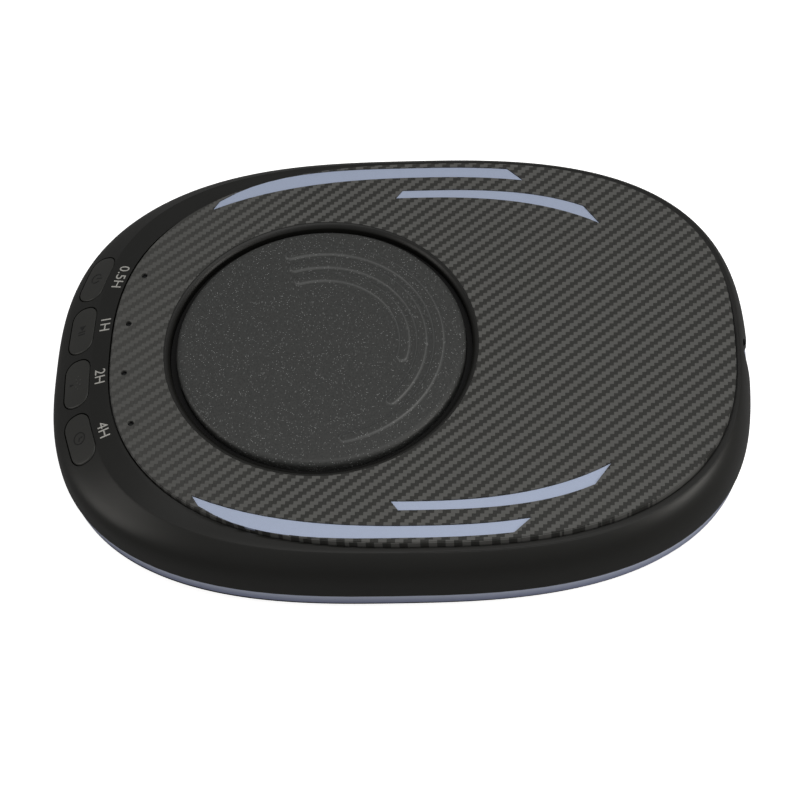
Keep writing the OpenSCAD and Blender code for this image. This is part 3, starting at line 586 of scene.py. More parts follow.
@dataclass
class HousingForm:
    """The shared form of the shells: outlines, levels and the shoulder's curve, in millimetres."""

    belt_z: float = 18.0
    crease_z: float = 39.4
    panel_z: float = 42.0
    groove: float = 0.7
    body: Outline = Outline(109.0, -147.5, 147.5, -2.0, 2.7, 2.79)
    crease: Outline = Outline(101.6, -129.3, 142.3, 8.5, 2.9, 2.7)
    panel: Outline = Outline(98.8, -121.2, 140.4, 10.5, 2.5, 2.62)
    reach: tuple[float, float, float] = (0.95, 0.9, 0.35)
    fall: tuple[float, float, float] = (0.42, 0.22, 0.08)
    count: int = 420

    def by_side(self, angle: float, values: tuple[float, float, float]) -> float:
        """Mix front, side and rear values by the normal's angle."""
        front, side, rear = values
        return side + (front - side) * blend(-math.sin(angle)) + (rear - side) * blend(math.sin(angle))

    def angles(self) -> list[float]:
        """Return normal angles that space points evenly round the housing."""
        power = 2 * (self.body.front_power - 1) / self.body.front_power
        result = []
        for i in range(self.count):
            phi = 2 * math.pi * (i + 0.5) / self.count
            s, c = math.sin(phi), math.cos(phi)
            rise = math.copysign(self.body.half_width * abs(s) ** power, s)
            run = math.copysign(self.body.rear * abs(c) ** power, c)
            result.append(math.atan2(rise, run))
        return result

    def shoulder(self, angle: float, t: float, grow: float = 0.0, sink: float = 0.0) -> np.ndarray:
        """Return a point of the shoulder.

        Args:
            angle: the outline's normal angle.
            t: 0 at the crease and 1 at the belt.
            grow: offset of both outlines.
            sink: how far the crease's end is lowered.

        Returns:
            The point in millimetres.
        """
        start, end = self.crease.point(angle, grow), self.body.point(angle, grow)
        reach = 3 * (1 - t) ** 2 * t * self.by_side(angle, self.reach) + 3 * (1 - t) * t**2 + t**3
        fall = 3 * (1 - t) ** 2 * t * self.by_side(angle, self.fall) + 3 * (1 - t) * t**2 * 0.4 + t**3
        top = self.crease_z - sink
        place = start + (end - start) * reach
        return np.array([place[0], place[1], top - (top - self.belt_z) * fall])

    def lip_z(self, angle: float) -> float:
        """Return the height of the ledge's inner edge."""
        return self.crease_z + 2.3 * blend((-math.sin(angle) - 0.35) / 0.6)

    def skin_section(self, angle: float, proud: float = 0.02, depth: float = 0.6) -> list[np.ndarray]:
        """Return one closed section of the moulded skin, from the belt up and back inside.

        Args:
            angle: the outline's normal angle.
            proud: how far the skin stands off the solid under it.
            depth: its thickness.

        Returns:
            The section's points in metres.
        """
        def at(outline: Outline, grow: float, z: float) -> np.ndarray:
            return np.append(outline.point(angle, grow), z)

        foot = self.belt_z + 0.02
        points = [at(self.body, -1.4, foot), at(self.body, proud - 0.35, foot)]
        points += [at(self.body, proud - 0.1, foot + 0.1), at(self.body, proud, foot + 0.35)]
        steps = 30
        corner = self.shoulder(angle, 0.0, proud) + np.array([0, 0, proud])
        start = self.shoulder(angle, 0.0, proud)
        slope = self.shoulder(angle, 0.02, proud) - start
        t_edge = 0.02 * 0.55 / max(1e-6, float(np.linalg.norm(slope)))
        for i in range(steps - 1, 0, -1):
            t = t_edge + (1 - t_edge) * i / steps
            p = self.shoulder(angle, t, proud)
            if p[2] > foot + 0.5:
                points.append(p + np.array([0, 0, proud * (1 - t)]))
        low = self.shoulder(angle, t_edge, proud) + np.array([0, 0, proud])
        lip = at(self.panel, self.groove - proud, self.lip_z(angle) + proud)
        ledge = lip - corner
        span = float(np.linalg.norm(ledge))
        high = corner + ledge * 0.55 / span
        points += rounded_corner(low, corner, high, (0.0, 0.2, 0.4, 0.6, 0.8, 1.0))
        points += [corner + ledge * s for s in (0.4, 0.6, 0.8)]
        turn = lip - ledge * 0.35 / span
        down = lip - np.array([0, 0, 0.35])
        points += rounded_corner(turn, lip, down, (0.0, 0.33, 0.67, 1.0))
        points += [at(self.panel, self.groove - proud, 38.6), at(self.panel, self.groove + depth, 38.6),
                   at(self.panel, self.groove + depth, self.lip_z(angle) - depth)]
        inside = (0.0, 0.08, 0.18, 0.3, 0.42, 0.55, 0.7, 0.85)
        points += [self.shoulder(angle, t, -depth, depth) for t in inside]
        return [p * MM for p in points]


@dataclass
class KeyFrame:
    """Where one key stands: a tilted frame on the shoulder."""

    form: HousingForm
    index: int
    pitch: float = 28.0
    place: float = 0.14
    tilt_deg: float = 29.0

    def matrix(self) -> Matrix:
        """Return the key's frame, in metres."""
        x = (self.index - 1.5) * self.pitch
        first = self.form.crease.front_angle(x)
        angle = self.form.crease.front_angle(2 * x - self.form.shoulder(first, self.place)[0])
        centre = Vector(self.form.shoulder(angle, self.place) * MM)
        tilt = Matrix.Rotation(math.radians(self.tilt_deg), 4, "X")
        return Matrix.Translation(centre) @ tilt @ Matrix.Rotation(angle + math.pi / 2, 4, "Z")


def cut(piece: bpy.types.Object, cutters: Sequence[bpy.types.Object]) -> None:
    """Cut shapes out of a piece and remove them.

    Args:
        piece: the object to cut.
        cutters: the objects to take away.
    """
    for cutter in cutters:
        step = piece.modifiers.new("cut", "BOOLEAN")
        step.operation, step.solver, step.object = "DIFFERENCE", "EXACT", cutter
    graph = bpy.context.evaluated_depsgraph_get()
    mesh = bpy.data.meshes.new_from_object(piece.evaluated_get(graph))
    piece.modifiers.clear()
    old = piece.data
    piece.data = mesh
    bpy.data.meshes.remove(old)
    for cutter in cutters:
        bpy.data.objects.remove(cutter)


def borrow_normals(
    piece: bpy.types.Object,
    points: np.ndarray,
    normals: np.ndarray,
    tree: BVHTree,
    triangles: list[tuple[int, int, int]],
) -> None:
    """Give a cut piece the smooth normals that its surface had before it was cut.

    Args:
        piece: the cut piece.
        points: points of the uncut surface.
        normals: their normals.
        tree: search tree over the uncut surface's triangles.
        triangles: those triangles.
    """
    mesh = piece.data
    result: list[Vector] = [Vector((0, 0, 0))] * len(mesh.loops)
    for polygon in mesh.polygons:
        own = polygon.normal.copy()
        for loop in polygon.loop_indices:
            place = mesh.vertices[mesh.loops[loop].vertex_index].co
            spot, flat, number, distance = tree.find_nearest(place)
            normal = own
            if number is not None and distance < 0.00003 and flat.dot(own) > 0.94:
                a, b, c = triangles[number]
                area = (Vector(points[b]) - Vector(points[a])).cross(Vector(points[c]) - Vector(points[a]))
                size = area.length_squared or 1.0
                wa = (Vector(points[b]) - spot).cross(Vector(points[c]) - spot).dot(area) / size
                wb = (Vector(points[c]) - spot).cross(Vector(points[a]) - spot).dot(area) / size
                weights = ((a, wa), (b, wb), (c, 1 - wa - wb))
                smooth = sum((Vector(normals[n]) * share for n, share in weights), Vector())
                normal = smooth.normalized()
            result[loop] = normal
    mesh.normals_split_custom_set(result)


class Key(Enum):
    """The four keys, from left to right."""

    POWER = 0
    PAUSE = 1
    HEAT = 2
    TIMER = 3

    @property
    def node(self) -> str:
        """Return the name of the key's solid."""
        return self.name.lower() + "_key"

    @property
    def body(self) -> str:
        """Return the name of the key's body."""
        return self.name.lower() + "_key_body"


@dataclass
class Housing:
    """The moulded shells and the trim band between them."""

    form: HousingForm
    shell: bpy.types.Material
    base: bpy.types.Material
    trim: bpy.types.Material
    key_length: float = 24.0
    key_width: float = 12.6
    key_corner: float = 5.6
    key_gap: float = 0.47
    scoop_depth: float = 3.2
    scoop_radius: float = 22.0

    def build(self) -> BVHTree:
        """Make the skins.

        Returns:
            A search tree over the shoulder before its openings are cut.
        """
        skin = Patchwork()
        skin.swept([self.form.skin_section(a) for a in self.form.angles()])
        piece = new_piece("shell_skin", skin.points, skin.faces, self.shell, HOUSING, 50.0)
        mesh = piece.data
        mesh.calc_loop_triangles()
        points = np.array([v.co[:] for v in mesh.vertices])
        normals = np.array([v.vector[:] for v in mesh.vertex_normals])
        triangles = [tuple(t.vertices) for t in mesh.loop_triangles]
        tree = BVHTree.FromPolygons([Vector(p) for p in points], triangles)
        cut(piece, self.cutters())
        borrow_normals(piece, points, normals, tree, triangles)
        self.band("trim_skin", self.trim, self.trim_section)
        self.band("base_skin", self.base, self.base_section)
        return tree

    def cutters(self) -> list[bpy.types.Object]:
        """Return solids for the four key openings and the scoop."""
        shapes = []
        for key in Key:
            length, width = self.key_length + 2 * self.key_gap, self.key_width + 2 * self.key_gap
            outline = rounded_rectangle(length, width, self.key_corner + self.key_gap)
            place = KeyFrame(self.form, key.value).matrix()
            work = Patchwork()
            work.loft([[place @ Vector((x * MM, y * MM, z * MM)) for x, y in outline] for z in (-7, 7)])
            shapes.append(work)
        scoop = Patchwork()
        ring = corner_arc((0, 147.5 - self.scoop_depth + self.scoop_radius), self.scoop_radius, 0, 357, 119)
        scoop.loft([[(x * MM, y * MM, z * MM) for x, y in ring] for z in (17, 44)])
        shapes.append(scoop)
        result = []
        for i, work in enumerate(shapes):
            mesh = bpy.data.meshes.new("cutter")
            mesh.from_pydata([tuple(p) for p in work.points], [], work.faces)
            tidy = bmesh.new()
            tidy.from_mesh(mesh)
            bmesh.ops.recalc_face_normals(tidy, faces=tidy.faces)
            tidy.to_mesh(mesh)
            tidy.free()
            cutter = bpy.data.objects.new(f"cutter_{i}", mesh)
            bpy.context.scene.collection.objects.link(cutter)
            result.append(cutter)
        return result

    def band(
        self,
        name: str,
        material: bpy.types.Material,
        section: Callable[[float], list[np.ndarray]],
    ) -> None:
        """Make a closed band from a section that is worked out at each angle."""
        work = Patchwork()
        work.swept([section(a) for a in self.form.angles()])
        new_piece(name, work.points, work.faces, material, HOUSING)

    def trim_section(self, angle: float) -> list[np.ndarray]:
        """Return the trim band's section, with small rounds on its outer edges."""
        body = self.form.body
        profile = [(-2.2, 10.68), (-1.6, 10.68), (-1.42, 10.76), (-1.34, 10.95), (-0.9, 13.8)]
        profile += [(-0.31, 17.7), (-0.32, 17.88), (-0.45, 17.98), (-2.2, 17.98)]
        return [np.append(body.point(angle, g), z) * MM for g, z in profile]

    def base_section(self, angle: float) -> list[np.ndarray]:
        """Return the base's curved flank, from the underside out to the trim."""
        body = self.form.body
        points = []
        for i in range(15):
            u = math.radians(90 * i / 14)
            points.append((-16 + 14.2 * math.sin(u), 10.66 - 8.02 * math.cos(u)))
        points += [(-2.4, 10.66)]
        inside = [math.radians(w) for w in (75, 50, 25, 0)]
        points += [(-16.8 + 14.2 * math.sin(w), 10.6 - 7.6 * math.cos(w)) for w in inside]
        result = []
        for g, z in points:
            share = blend((10.7 - z) / 8.2)
            x, y = body.point(angle, g + 0.02)
            result.append(np.array([x, y - 3.0 * share, z - 0.02]) * MM)
        return result


@dataclass
class Keypad:
    """The four keys, with fine rounds on their edges and raised signs."""

    form: HousingForm
    shoulder: BVHTree
    plastic: bpy.types.Material
    ink: bpy.types.Material
    pale: bpy.types.Material
    length: float = 24.0
    width: float = 12.6
    corner: float = 5.6
    proud: float = 0.25
    edge: float = 0.8

    def height(self, place: Matrix, x: float, y: float) -> float:
        """Return the shoulder's height over a key's frame.

        Args:
            place: the key's frame.
            x: place along the key, in millimetres.
            y: place across the key, in millimetres.

        Returns:
            The height in millimetres.
        """
        start = place @ Vector((x * MM, y * MM, 12 * MM))
        way = (place.to_3x3() @ Vector((0, 0, -1))).normalized()
        hit, _, _, distance = self.shoulder.ray_cast(start, way)
        return 12 - distance / MM if hit else 0.0

    def top(self, place: Matrix, x: float, y: float, drop: float = 0.0) -> Vector:
        """Return a point on a key's face, in metres, lowered by a drop in millimetres."""
        return place @ Vector((x * MM, y * MM, (self.height(place, x, y) + self.proud - drop) * MM))

    def build(self) -> None:
        """Make the keys and their signs."""
        for key in Key:
            place = KeyFrame(self.form, key.value).matrix()
            piece = self.cap(key, place)
            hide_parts(key.node)
            self.sign(key, place)

    def cap(self, key: Key, place: Matrix) -> bpy.types.Object:
        """Make one key with its core, flange and stem."""
        insets = [0.0, 0.02, 0.08, 0.19, 0.34, 0.54, 0.8]
        rings: list[list[Vector]] = []
        rim = rounded_rectangle(self.length, self.width, self.corner)
        rings.append([place @ Vector((x * MM, y * MM, -4.0 * MM)) for x, y in rim])
        for inset in insets:
            outline = rounded_rectangle(self.length - 2 * inset, self.width - 2 * inset, self.corner - inset)
            drop = self.edge - math.sqrt(max(0.0, self.edge**2 - (self.edge - inset) ** 2))
            rings.append([self.top(place, x, y, drop * 0.75) for x, y in outline])
        length, width = self.length - 2 * self.edge, self.width - 2 * self.edge
        inner = rounded_rectangle(length, width, self.corner - self.edge)
        for share in (0.88, 0.74, 0.58, 0.42, 0.26, 0.12):
            rings.append([self.top(place, x * share, y * share) for x, y in inner])
        work = Patchwork()
        work.loft(rings)
        for grow, low, high in ((-1.0, -7.2, -3.8), (1.2, -7.2, -6.0)):
            outline = rounded_rectangle(self.length + 2 * grow, self.width + 2 * grow, self.corner + grow)
            work.loft([[place @ Vector((x * MM, y * MM, z * MM)) for x, y in outline] for z in (low, high)])
        name = key.node + "_cap"
        return new_piece(name, work.points, work.faces, self.plastic, key.body, 40.0)

    def lay(self, place: Matrix, strips: Sequence[Strip], lift: float = 0.09) -> Patchwork:
        """Lay flat strips on a key's face.

        Args:
            place: the key's frame.
            strips: each a row of left and right points, in millimetres.
            lift: the height of the ink over the key.

        Returns:
            The closed strips.
        """
        work = Patchwork()
        for strip in strips:
            sections = []
            for left, right in strip:
                around = ((left, -lift), (right, -lift), (right, 0.05), (left, 0.05))
                sections.append([self.top(place, x, y, drop) for (x, y), drop in around])
            work.loft(sections)
        return work

    def sign(self, key: Key, place: Matrix) -> None:
        """Make the sign on one key."""
        strips, dots = SIGNS[key]()
        work = self.lay(place, strips)
        new_piece(key.node + "_sign", work.points, work.faces, self.ink, key.body)
        if dots:
            fan = self.lay(place, dots, 0.12)
            new_piece(key.node + "_dots", fan.points, fan.faces, self.pale, key.body)



def arc_strip(
    centre: Point, radius: float, width: float, from_deg: float, to_deg: float, steps: int = 28
) -> Strip:
    """Return a curved strip about a centre."""
    outer = corner_arc(centre, radius + width / 2, from_deg, to_deg, steps)
    inner = corner_arc(centre, radius - width / 2, from_deg, to_deg, steps)
    return list(zip(outer, inner))


def bar_strip(
    start: Point, end: Point, width: float, end_width: float | None = None, steps: int = 4
) -> Strip:
    """Return a straight strip, which may taper."""
    way = np.array(end) - np.array(start)
    side = np.array([-way[1], way[0]]) / np.linalg.norm(way) / 2
    last = width if end_width is None else end_width
    result = []
    for i in range(steps + 1):
        middle = np.array(start) + way * i / steps
        half = side * (width + (last - width) * i / steps)
        result.append((tuple(middle + half), tuple(middle - half)))
    return result


def disc_strip(centre: Point, radius: float) -> Strip:
    """Return a small disc as a strip of rising and falling width."""
    turns = [math.pi * (1 - (i + 0.02) / 8.04) for i in range(9)]
    places = [(radius * math.cos(a), radius * math.sin(a)) for a in turns]
    return [((centre[0] + x, centre[1] + y), (centre[0] + x, centre[1] - y)) for x, y in places]


def power_sign() -> tuple[list[Strip], list[Strip]]:
    """Return a broken ring with a bar."""
    return ([arc_strip((0, 0), 2.4, 0.5, 125, 415), bar_strip((0, 0.2), (0, 3.1), 0.5)], [])


def pause_sign() -> tuple[list[Strip], list[Strip]]:
    """Return a triangle and two bars."""
    bars = [bar_strip((x, -1.7), (x, 1.7), 0.5) for x in (0.9, 2.2)]
    return ([bar_strip((-2.1, 0), (0.1, 0), 3.2, 0.1)] + bars, [])


def heat_sign() -> tuple[list[Strip], list[Strip]]:
    """Return a small mark with a fan of dots over it."""
    rows = ((3.2, (55, 90, 125)), (4.8, (48, 76, 104, 132)))
    fan = [(r, math.radians(a)) for r, angles in rows for a in angles]
    dots = [disc_strip((r * math.cos(a), r * math.sin(a) - 2.6), 0.36) for r, a in fan]
    return ([bar_strip((0, -3.4), (0, -1.6), 1.0, 0.4)], dots)


def timer_sign() -> tuple[list[Strip], list[Strip]]:
    """Return a clock face with two hands."""
    hands = [bar_strip((0, 0), end, 0.45) for end in ((0, 1.7), (1.3, -0.6))]
    return ([arc_strip((0, 0), 2.7, 0.45, 0, 359)] + hands, [])


SIGNS = {Key.POWER: power_sign, Key.PAUSE: pause_sign, Key.HEAT: heat_sign, Key.TIMER: timer_sign}


@dataclass(frozen=True)
class Label:
    """A word printed beside a key."""

    text: str
    x: float
    y: float
    turn_deg: float
    size: float = 4.7


@dataclass
class Lettering:
    """Pale words on the ledge."""

    shoulder: BVHTree
    ink: bpy.types.Material
    font_share: float = 1.38
    labels: tuple[Label, ...] = (
        Label("0.5H", -39.0, -120.5, -17.0),
        Label("1H", -13.5, -125.0, -3.0),
        Label("2H", 13.5, -125.0, 3.0),
        Label("4H", 41.0, -121.0, 17.0),
    )

    def build(self) -> None:
        """Print the words."""
        for i, label in enumerate(self.labels):
            self.word(i, label)

    def word(self, number: int, label: Label) -> None:
        """Make one word as thin letters that lie on the ledge.

        Args:
            number: the word's place in the row.
            label: the word.
        """
        curve = bpy.data.curves.new("word", "FONT")
        curve.body, curve.size = label.text, label.size * self.font_share
        curve.align_x = curve.align_y = "CENTER"
        curve.resolution_u = 6
        text = bpy.data.objects.new("word", curve)
        bpy.context.scene.collection.objects.link(text)
        graph = bpy.context.evaluated_depsgraph_get()
        flat = bpy.data.meshes.new_from_object(text.evaluated_get(graph))
        bpy.data.objects.remove(text)
        work = bmesh.new()
        work.from_mesh(flat)
        bmesh.ops.remove_doubles(work, verts=work.verts, dist=0.001)
        turn = Matrix.Rotation(math.radians(label.turn_deg), 2)
        places = [turn @ v.co.xy for v in work.verts]
        low = Vector((min(p.x for p in places), min(p.y for p in places)))
        high = Vector((max(p.x for p in places), max(p.y for p in places)))
        middle = (low + high) / 2
        for vertex, flat_place in zip(work.verts, places):
            spot = (flat_place - middle + Vector((label.x, label.y))) * MM
            hit, _, _, _ = self.shoulder.ray_cast(Vector((spot.x, spot.y, 0.06)), Vector((0, 0, -1)))
            vertex.co = Vector((spot.x, spot.y, (hit.z if hit else 0.04) + 0.00002))
        solid = bmesh.ops.extrude_face_region(work, geom=list(work.faces))
        for item in solid["geom"]:
            if isinstance(item, bmesh.types.BMVert):
                item.co.z += 0.00003
        bmesh.ops.recalc_face_normals(work, faces=work.faces)
        points = [v.co[:] for v in work.verts]
        work.verts.index_update()
        faces = [[v.index for v in f.verts] for f in work.faces]
        work.free()
        new_piece(f"label_{number}", points, faces, self.ink, HOUSING)


@dataclass
class HotPlate:
    """The coated plate, its ribs and the collar round it."""

    coat: bpy.types.Material
    rib_coat: bpy.types.Material
    shell: bpy.types.Material
    centre: Point = (0.0, -32.5)
    radius: float = 61.0
    top: float = 42.5
    edge: float = 2.5
    rib_radius: float = 35.2
    rib_pitch: float = 7.2
    rib_width: float = 4.6
    rib_height: float = 0.7
    rib_start: float = 197.0
    rib_sweeps: tuple[float, float, float] = (120.0, 152.0, 184.0)

    def build(self) -> None:
        """Make the plate's coat, the ribs and the collar."""
        arc = corner_arc((self.radius - self.edge, self.top - self.edge), self.edge + 0.02, 0, 90, 12)
        face, under = self.top + 0.02, self.top - 0.5
        profile = [(self.radius + 0.02, 34.2)] + arc + [(30.0, face), (2.0, face), (2.0, under)]
        profile += [(56.0, under), (58.0, self.top - 3.0), (58.0, 34.2)]
        plate = lathe(profile, self.centre)
        turns = [2 * math.pi * i / 256 for i in range(256)]
        rim = [(self.centre[0] + 2.0 * math.cos(a), self.centre[1] + 2.0 * math.sin(a)) for a in turns]
        plate.loft([[(x * MM, y * MM, z * MM) for x, y in rim] for z in (under, face)])
        new_piece("plate_coat", plate.points, plate.faces, self.coat, HOUSING)
        ribs = Patchwork()
        for i, sweep in enumerate(self.rib_sweeps):
            self.rib(ribs, self.rib_radius + i * self.rib_pitch, sweep)
        new_piece("plate_ribs", ribs.points, ribs.faces, self.rib_coat, HOUSING, 60.0)
        profile = [(66.2, 38.6), (66.32, 38.8), (66.32, 41.9), (66.22, 42.02), (66.0, 42.02), (65.6, 41.95)]
        profile += [(65.2, 41.75), (63.95, 40.5), (63.85, 40.2), (63.85, 37.0), (64.6, 37.0), (64.6, 38.6)]
        ring = lathe(profile, self.centre)
        new_piece("plate_collar", ring.points, ring.faces, self.shell, HOUSING, 50.0)

    def stadium(self, radius: float, sweep: float, half: float, z: float) -> list[Triple]:
        """Return a closed loop round an arc with round ends.

        Args:
            radius: the arc's radius.
            sweep: the arc's angle in degrees.
            half: half the loop's width.
            z: its height.

        Returns:
            The loop, in metres.
        """
        first, last = self.rib_start - sweep, self.rib_start
        steps, cap = 72, 8
        loop = [(radius + half, first + sweep * i / steps) for i in range(steps + 1)]
        points = [(r * math.cos(math.radians(a)), r * math.sin(math.radians(a))) for r, a in loop]
        points += self.round_end(radius, last, half, last, cap)
        loop = [(radius - half, last - sweep * i / steps) for i in range(steps + 1)]
        points += [(r * math.cos(math.radians(a)), r * math.sin(math.radians(a))) for r, a in loop]
        points += self.round_end(radius, first, half, first + 180, cap)
        return [((x + self.centre[0]) * MM, (y + self.centre[1]) * MM, z * MM) for x, y in points]

    def round_end(
        self, radius: float, at_deg: float, half: float, from_deg: float, steps: int
    ) -> list[Point]:
        """Return the inner points of a half circle at one end of an arc."""
        centre = (radius * math.cos(math.radians(at_deg)), radius * math.sin(math.radians(at_deg)))
        return corner_arc(centre, half, from_deg, from_deg + 180, steps)[1:-1]

    def rib(self, work: Patchwork, radius: float, sweep: float) -> None:
        """Add one rib to a patchwork."""
        half = self.rib_width / 2
        levels = [(0.5, -0.3), (0.35, 0.02), (0.12, 0.06), (-0.08, 0.18)]
        levels += [(-0.3, 0.42), (-0.48, 0.6), (-0.7, 0.7), (-1.0, 0.715)]
        rings = [self.stadium(radius, sweep, half + grow, self.top + z) for grow, z in levels]
        start = len(work.points)
        work.loft(rings, capped=False)
        size = len(rings[0])
        for base in (start, start + (len(rings) - 1) * size):
            arcs, cap = 73, 7
            outer = [base + i for i in range(arcs)]
            inner = [base + arcs + cap + i for i in range(arcs)][::-1]
            for i in range(arcs - 1):
                work.faces.append((outer[i], outer[i + 1], inner[i + 1], inner[i]))
            for first, offset, last in ((outer[-1], arcs, inner[-1]), (inner[0], 2 * arcs + cap, outer[0])):
                work.faces.append((first, *range(base + offset, base + offset + cap), last))


# ---- The solids that stay --------------------------------------------------------------------

@dataclass
class Wardrobe:
    """The finish of every solid of the frame."""

    finishes: dict[str, Moulded] = field(default_factory=lambda: {
        "shell_black": Moulded(
            "shell_black", (24, 24, 22), 0.4, specular=0.4, grain_mm=0.3, grain_depth_mm=0.006
        ),
        "base_black": Moulded("base_black", (20, 20, 20), 0.55, specular=0.3),
        "key_black": Moulded(
            "key_black", (48, 48, 46), 0.4, specular=0.35, grain_mm=0.3, grain_depth_mm=0.004
        ),
        "rubber_black": Moulded("rubber_black", (18, 18, 18), 0.75, specular=0.3, grain_mm=0.8),
        "steel": Moulded("steel", (190, 192, 194), 0.3, 1.0, grain_mm=0.6),
        "sheet_aluminium": Moulded("sheet_aluminium", (205, 207, 209), 0.35, 1.0, stretch=(1.0, 0.04, 1.0)),
        "mica": Moulded("mica", (150, 118, 78), 0.5, grain_mm=2.0, mottle=0.25),
        "fibre": Moulded("fibre", (222, 216, 200), 0.9, grain_mm=1.2, grain_depth_mm=0.1),
        "phenolic_black": Moulded("phenolic_black", (24, 24, 24), 0.35),
        "board_green": Moulded("board_green", (26, 92, 58), 0.4, grain_mm=1.5, mottle=0.12),
        "component_white": Moulded("component_white", (226, 223, 212), 0.45),
        "clear": Moulded("clear", (20, 21, 22), 0.2, grain_depth_mm=0.002),
        "copper_yellow": Moulded("copper_yellow", (196, 158, 72), 0.4, grain_mm=0.8),
        "component_blue": Moulded("component_blue", (40, 66, 132), 0.3),
        "brass": Moulded("brass", (196, 168, 106), 0.3, 1.0),
        "wire_red": Moulded("wire_red", (176, 46, 38), 0.5),
        "wire_brown": Moulded("wire_brown", (92, 64, 50), 0.5),
        "wire_grey": Moulded("wire_grey", (136, 138, 140), 0.5),
    })

    def build(self) -> dict[str, bpy.types.Material]:
        """Make the finishes and put one on each solid.

        Returns:
            The finishes by name.
        """
        made = {name: finish.build() for name, finish in self.finishes.items()}
        made["panel_weave"] = WovenLaminate().build()
        made["plate_black"] = SparkleCoat().build()
        # The ribs' coat lightens their steep sides as a painted highlight.
        made["rib_coat"] = SparkleCoat("rib_coat", slope_highlight=0.55).build()
        # The strips' lighter tops and the trim's lighter upper part are painted highlights; their lower
        # tones are painted shade.
        strip = MetallicPaint("strip_blue", (160, 171, 200), (186, 198, 224), 40.4, 41.6)
        trim = MetallicPaint("trim_blue", (160, 169, 206), (214, 222, 246), 11.5, 16.5)
        made["strip_blue"], made["trim_blue"] = strip.build(), trim.build()
        made["ink"] = Moulded("pale_ink", (176, 175, 170), 0.6, grain_mm=0.2, mottle=0.08).build()
        made["sign"] = Moulded("dark_sign", (8, 8, 8), 0.35, grain_mm=0.2).build()
        made["dots"] = Moulded("grey_dots", (62, 62, 60), 0.5, grain_mm=0.2).build()
        slots = {part["node"]: part["material_slot"] for part in frame["record"]["subparts"]}
        for name, solid in frame["nodes"].items():
            for slot in solid.material_slots:
                slot.material = made[slots[name]]
        return made


# ---- Studio ----------------------------------------------------------------------------------


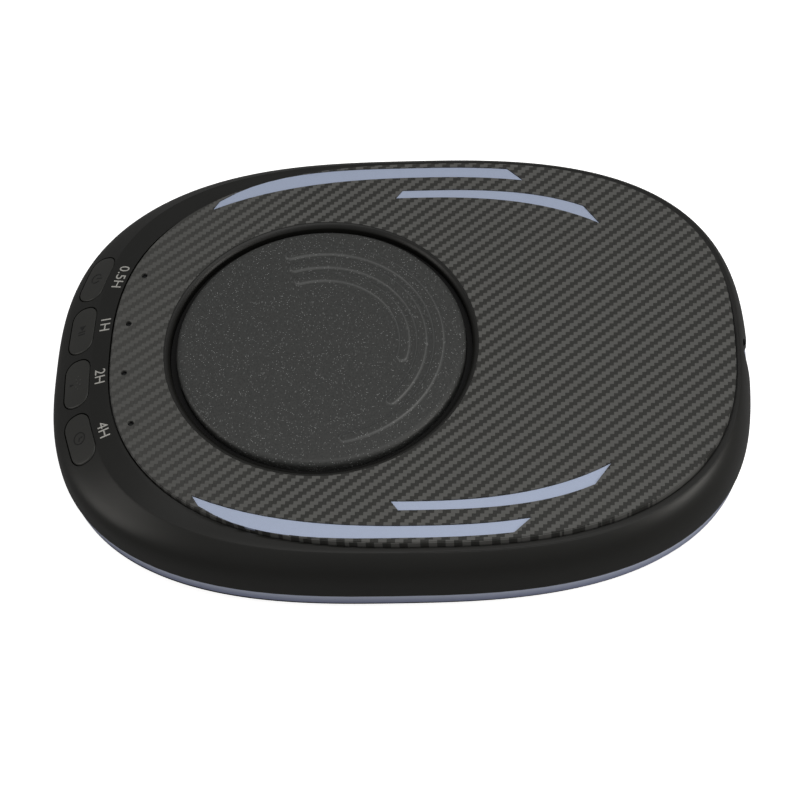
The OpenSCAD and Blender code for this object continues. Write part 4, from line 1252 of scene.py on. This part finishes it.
@dataclass
class Studio:
    """A white floor, soft lamps and the camera."""

    focal: float = 2387.958 * 36 / 800
    azimuth_deg: float = 94.602
    elevation_deg: float = 54.567
    roll_deg: float = -4.831
    distance: float = 0.98401
    target: tuple[float, float, float] = (0.02953, 0.00111, 0.042)

    def build(self) -> None:
        """Set the view transform and make the floor, lamps and camera."""
        bpy.context.scene.view_settings.view_transform = "Standard"
        self.floor()
        self.world()
        self.lamp("top_lamp", (0.05, 0.35, 1.5), (0.0, 0.0, 0.03), 1.6, 10.0, (1.0, 0.99, 0.97))
        self.lamp("front_lamp", (0.3, -1.15, 0.5), (0.0, 0.0, 0.03), 0.6, 2.6, (1.0, 0.97, 0.92))
        self.lamp("rear_lamp", (0.4, 1.15, 0.5), (0.0, 0.0, 0.03), 0.6, 5.0, (1.0, 0.97, 0.92))
        self.camera()

    def floor(self) -> None:
        """Make the white floor."""
        g = Graph("white_floor")
        ray = g.add("ShaderNodeLightPath").outputs["Is Camera Ray"]
        seen, lit = g.add("ShaderNodeBsdfDiffuse"), g.add("ShaderNodeBsdfDiffuse")
        seen.inputs["Color"].default_value = (1.0, 1.0, 1.0, 1.0)
        lit.inputs["Color"].default_value = (0.3, 0.3, 0.3, 1.0)
        glow = g.add("ShaderNodeEmission")
        glow.inputs["Strength"].default_value = 0.8
        both = g.add("ShaderNodeAddShader")
        g.put(both.inputs[0], seen.outputs[0])
        g.put(both.inputs[1], glow.outputs[0])
        choice = g.add("ShaderNodeMixShader")
        g.put(choice.inputs[0], ray)
        g.put(choice.inputs[1], lit.outputs[0])
        g.put(choice.inputs[2], both.outputs[0])
        g.put(g.output.inputs["Surface"], choice.outputs[0])
        mesh = bpy.data.meshes.new("floor")
        mesh.from_pydata([(-6, -6, 0), (6, -6, 0), (6, 6, 0), (-6, 6, 0)], [], [(0, 1, 2, 3)])
        mesh.materials.append(g.material)
        floor = bpy.data.objects.new("floor", mesh)
        bpy.context.scene.collection.objects.link(floor)

    def world(self) -> None:
        """Make the pale surroundings."""
        world = bpy.data.worlds.new("surroundings")
        world.use_nodes = True
        tree = world.node_tree
        tree.nodes.clear()
        output = tree.nodes.new("ShaderNodeOutputWorld")
        ground = tree.nodes.new("ShaderNodeBackground")
        ground.inputs["Strength"].default_value = 0.33
        seen = tree.nodes.new("ShaderNodeBackground")
        seen.inputs["Color"].default_value = (1.0, 1.0, 1.0, 1.0)
        seen.inputs["Strength"].default_value = 1.0
        ray = tree.nodes.new("ShaderNodeLightPath")
        choice = tree.nodes.new("ShaderNodeMixShader")
        tree.links.new(ray.outputs["Is Camera Ray"], choice.inputs[0])
        tree.links.new(ground.outputs[0], choice.inputs[1])
        tree.links.new(seen.outputs[0], choice.inputs[2])
        tree.links.new(choice.outputs[0], output.inputs["Surface"])
        bpy.context.scene.world = world

    def lamp(
        self, name: str, place: Triple, aim: Triple, size: float, power: float, colour: Triple
    ) -> None:
        """Make a square soft lamp.

        Args:
            name: its name.
            place: where it hangs.
            aim: the point that it faces.
            size: its side in metres.
            power: its power in watts.
            colour: its colour.
        """
        data = bpy.data.lights.new(name, "AREA")
        data.energy, data.size, data.color = power, size, colour
        lamp = bpy.data.objects.new(name, data)
        lamp.location = place
        lamp.rotation_euler = (Vector(place) - Vector(aim)).to_track_quat("Z", "Y").to_euler()
        bpy.context.scene.collection.objects.link(lamp)

    def camera(self) -> None:
        """Make the camera."""
        data = bpy.data.cameras.new("camera")
        data.sensor_width, data.lens, data.clip_start = 36.0, self.focal, 0.05
        camera = bpy.data.objects.new("camera", data)
        a, e, r = (math.radians(v) for v in (self.azimuth_deg, self.elevation_deg, self.roll_deg))
        back = Vector((math.sin(a) * math.cos(e), -math.cos(a) * math.cos(e), math.sin(e)))
        right = (-back).cross(Vector((0, 0, 1))).normalized()
        up = right.cross(-back)
        side = right * math.cos(r) + up * math.sin(r)
        top = up * math.cos(r) - right * math.sin(r)
        turn = Matrix((side, top, back)).transposed().to_4x4()
        camera.matrix_world = Matrix.Translation(Vector(self.target) + back * self.distance) @ turn
        bpy.context.scene.collection.objects.link(camera)
        bpy.context.scene.camera = camera


def main() -> None:
    """Build the looks in order."""
    logging.basicConfig(level=logging.INFO, format="%(name)s: %(message)s")
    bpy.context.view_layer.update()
    finish = Wardrobe().build()
    black = finish["shell_black"]
    form = HousingForm()
    shoulder = Housing(form, black, finish["base_black"], finish["trim_blue"]).build()
    Keypad(form, shoulder, finish["key_black"], finish["sign"], finish["dots"]).build()
    Lettering(shoulder, finish["ink"]).build()
    HotPlate(finish["plate_black"], finish["rib_coat"], black).build()
    Studio().build()


if __name__ == "__main__":
    main()
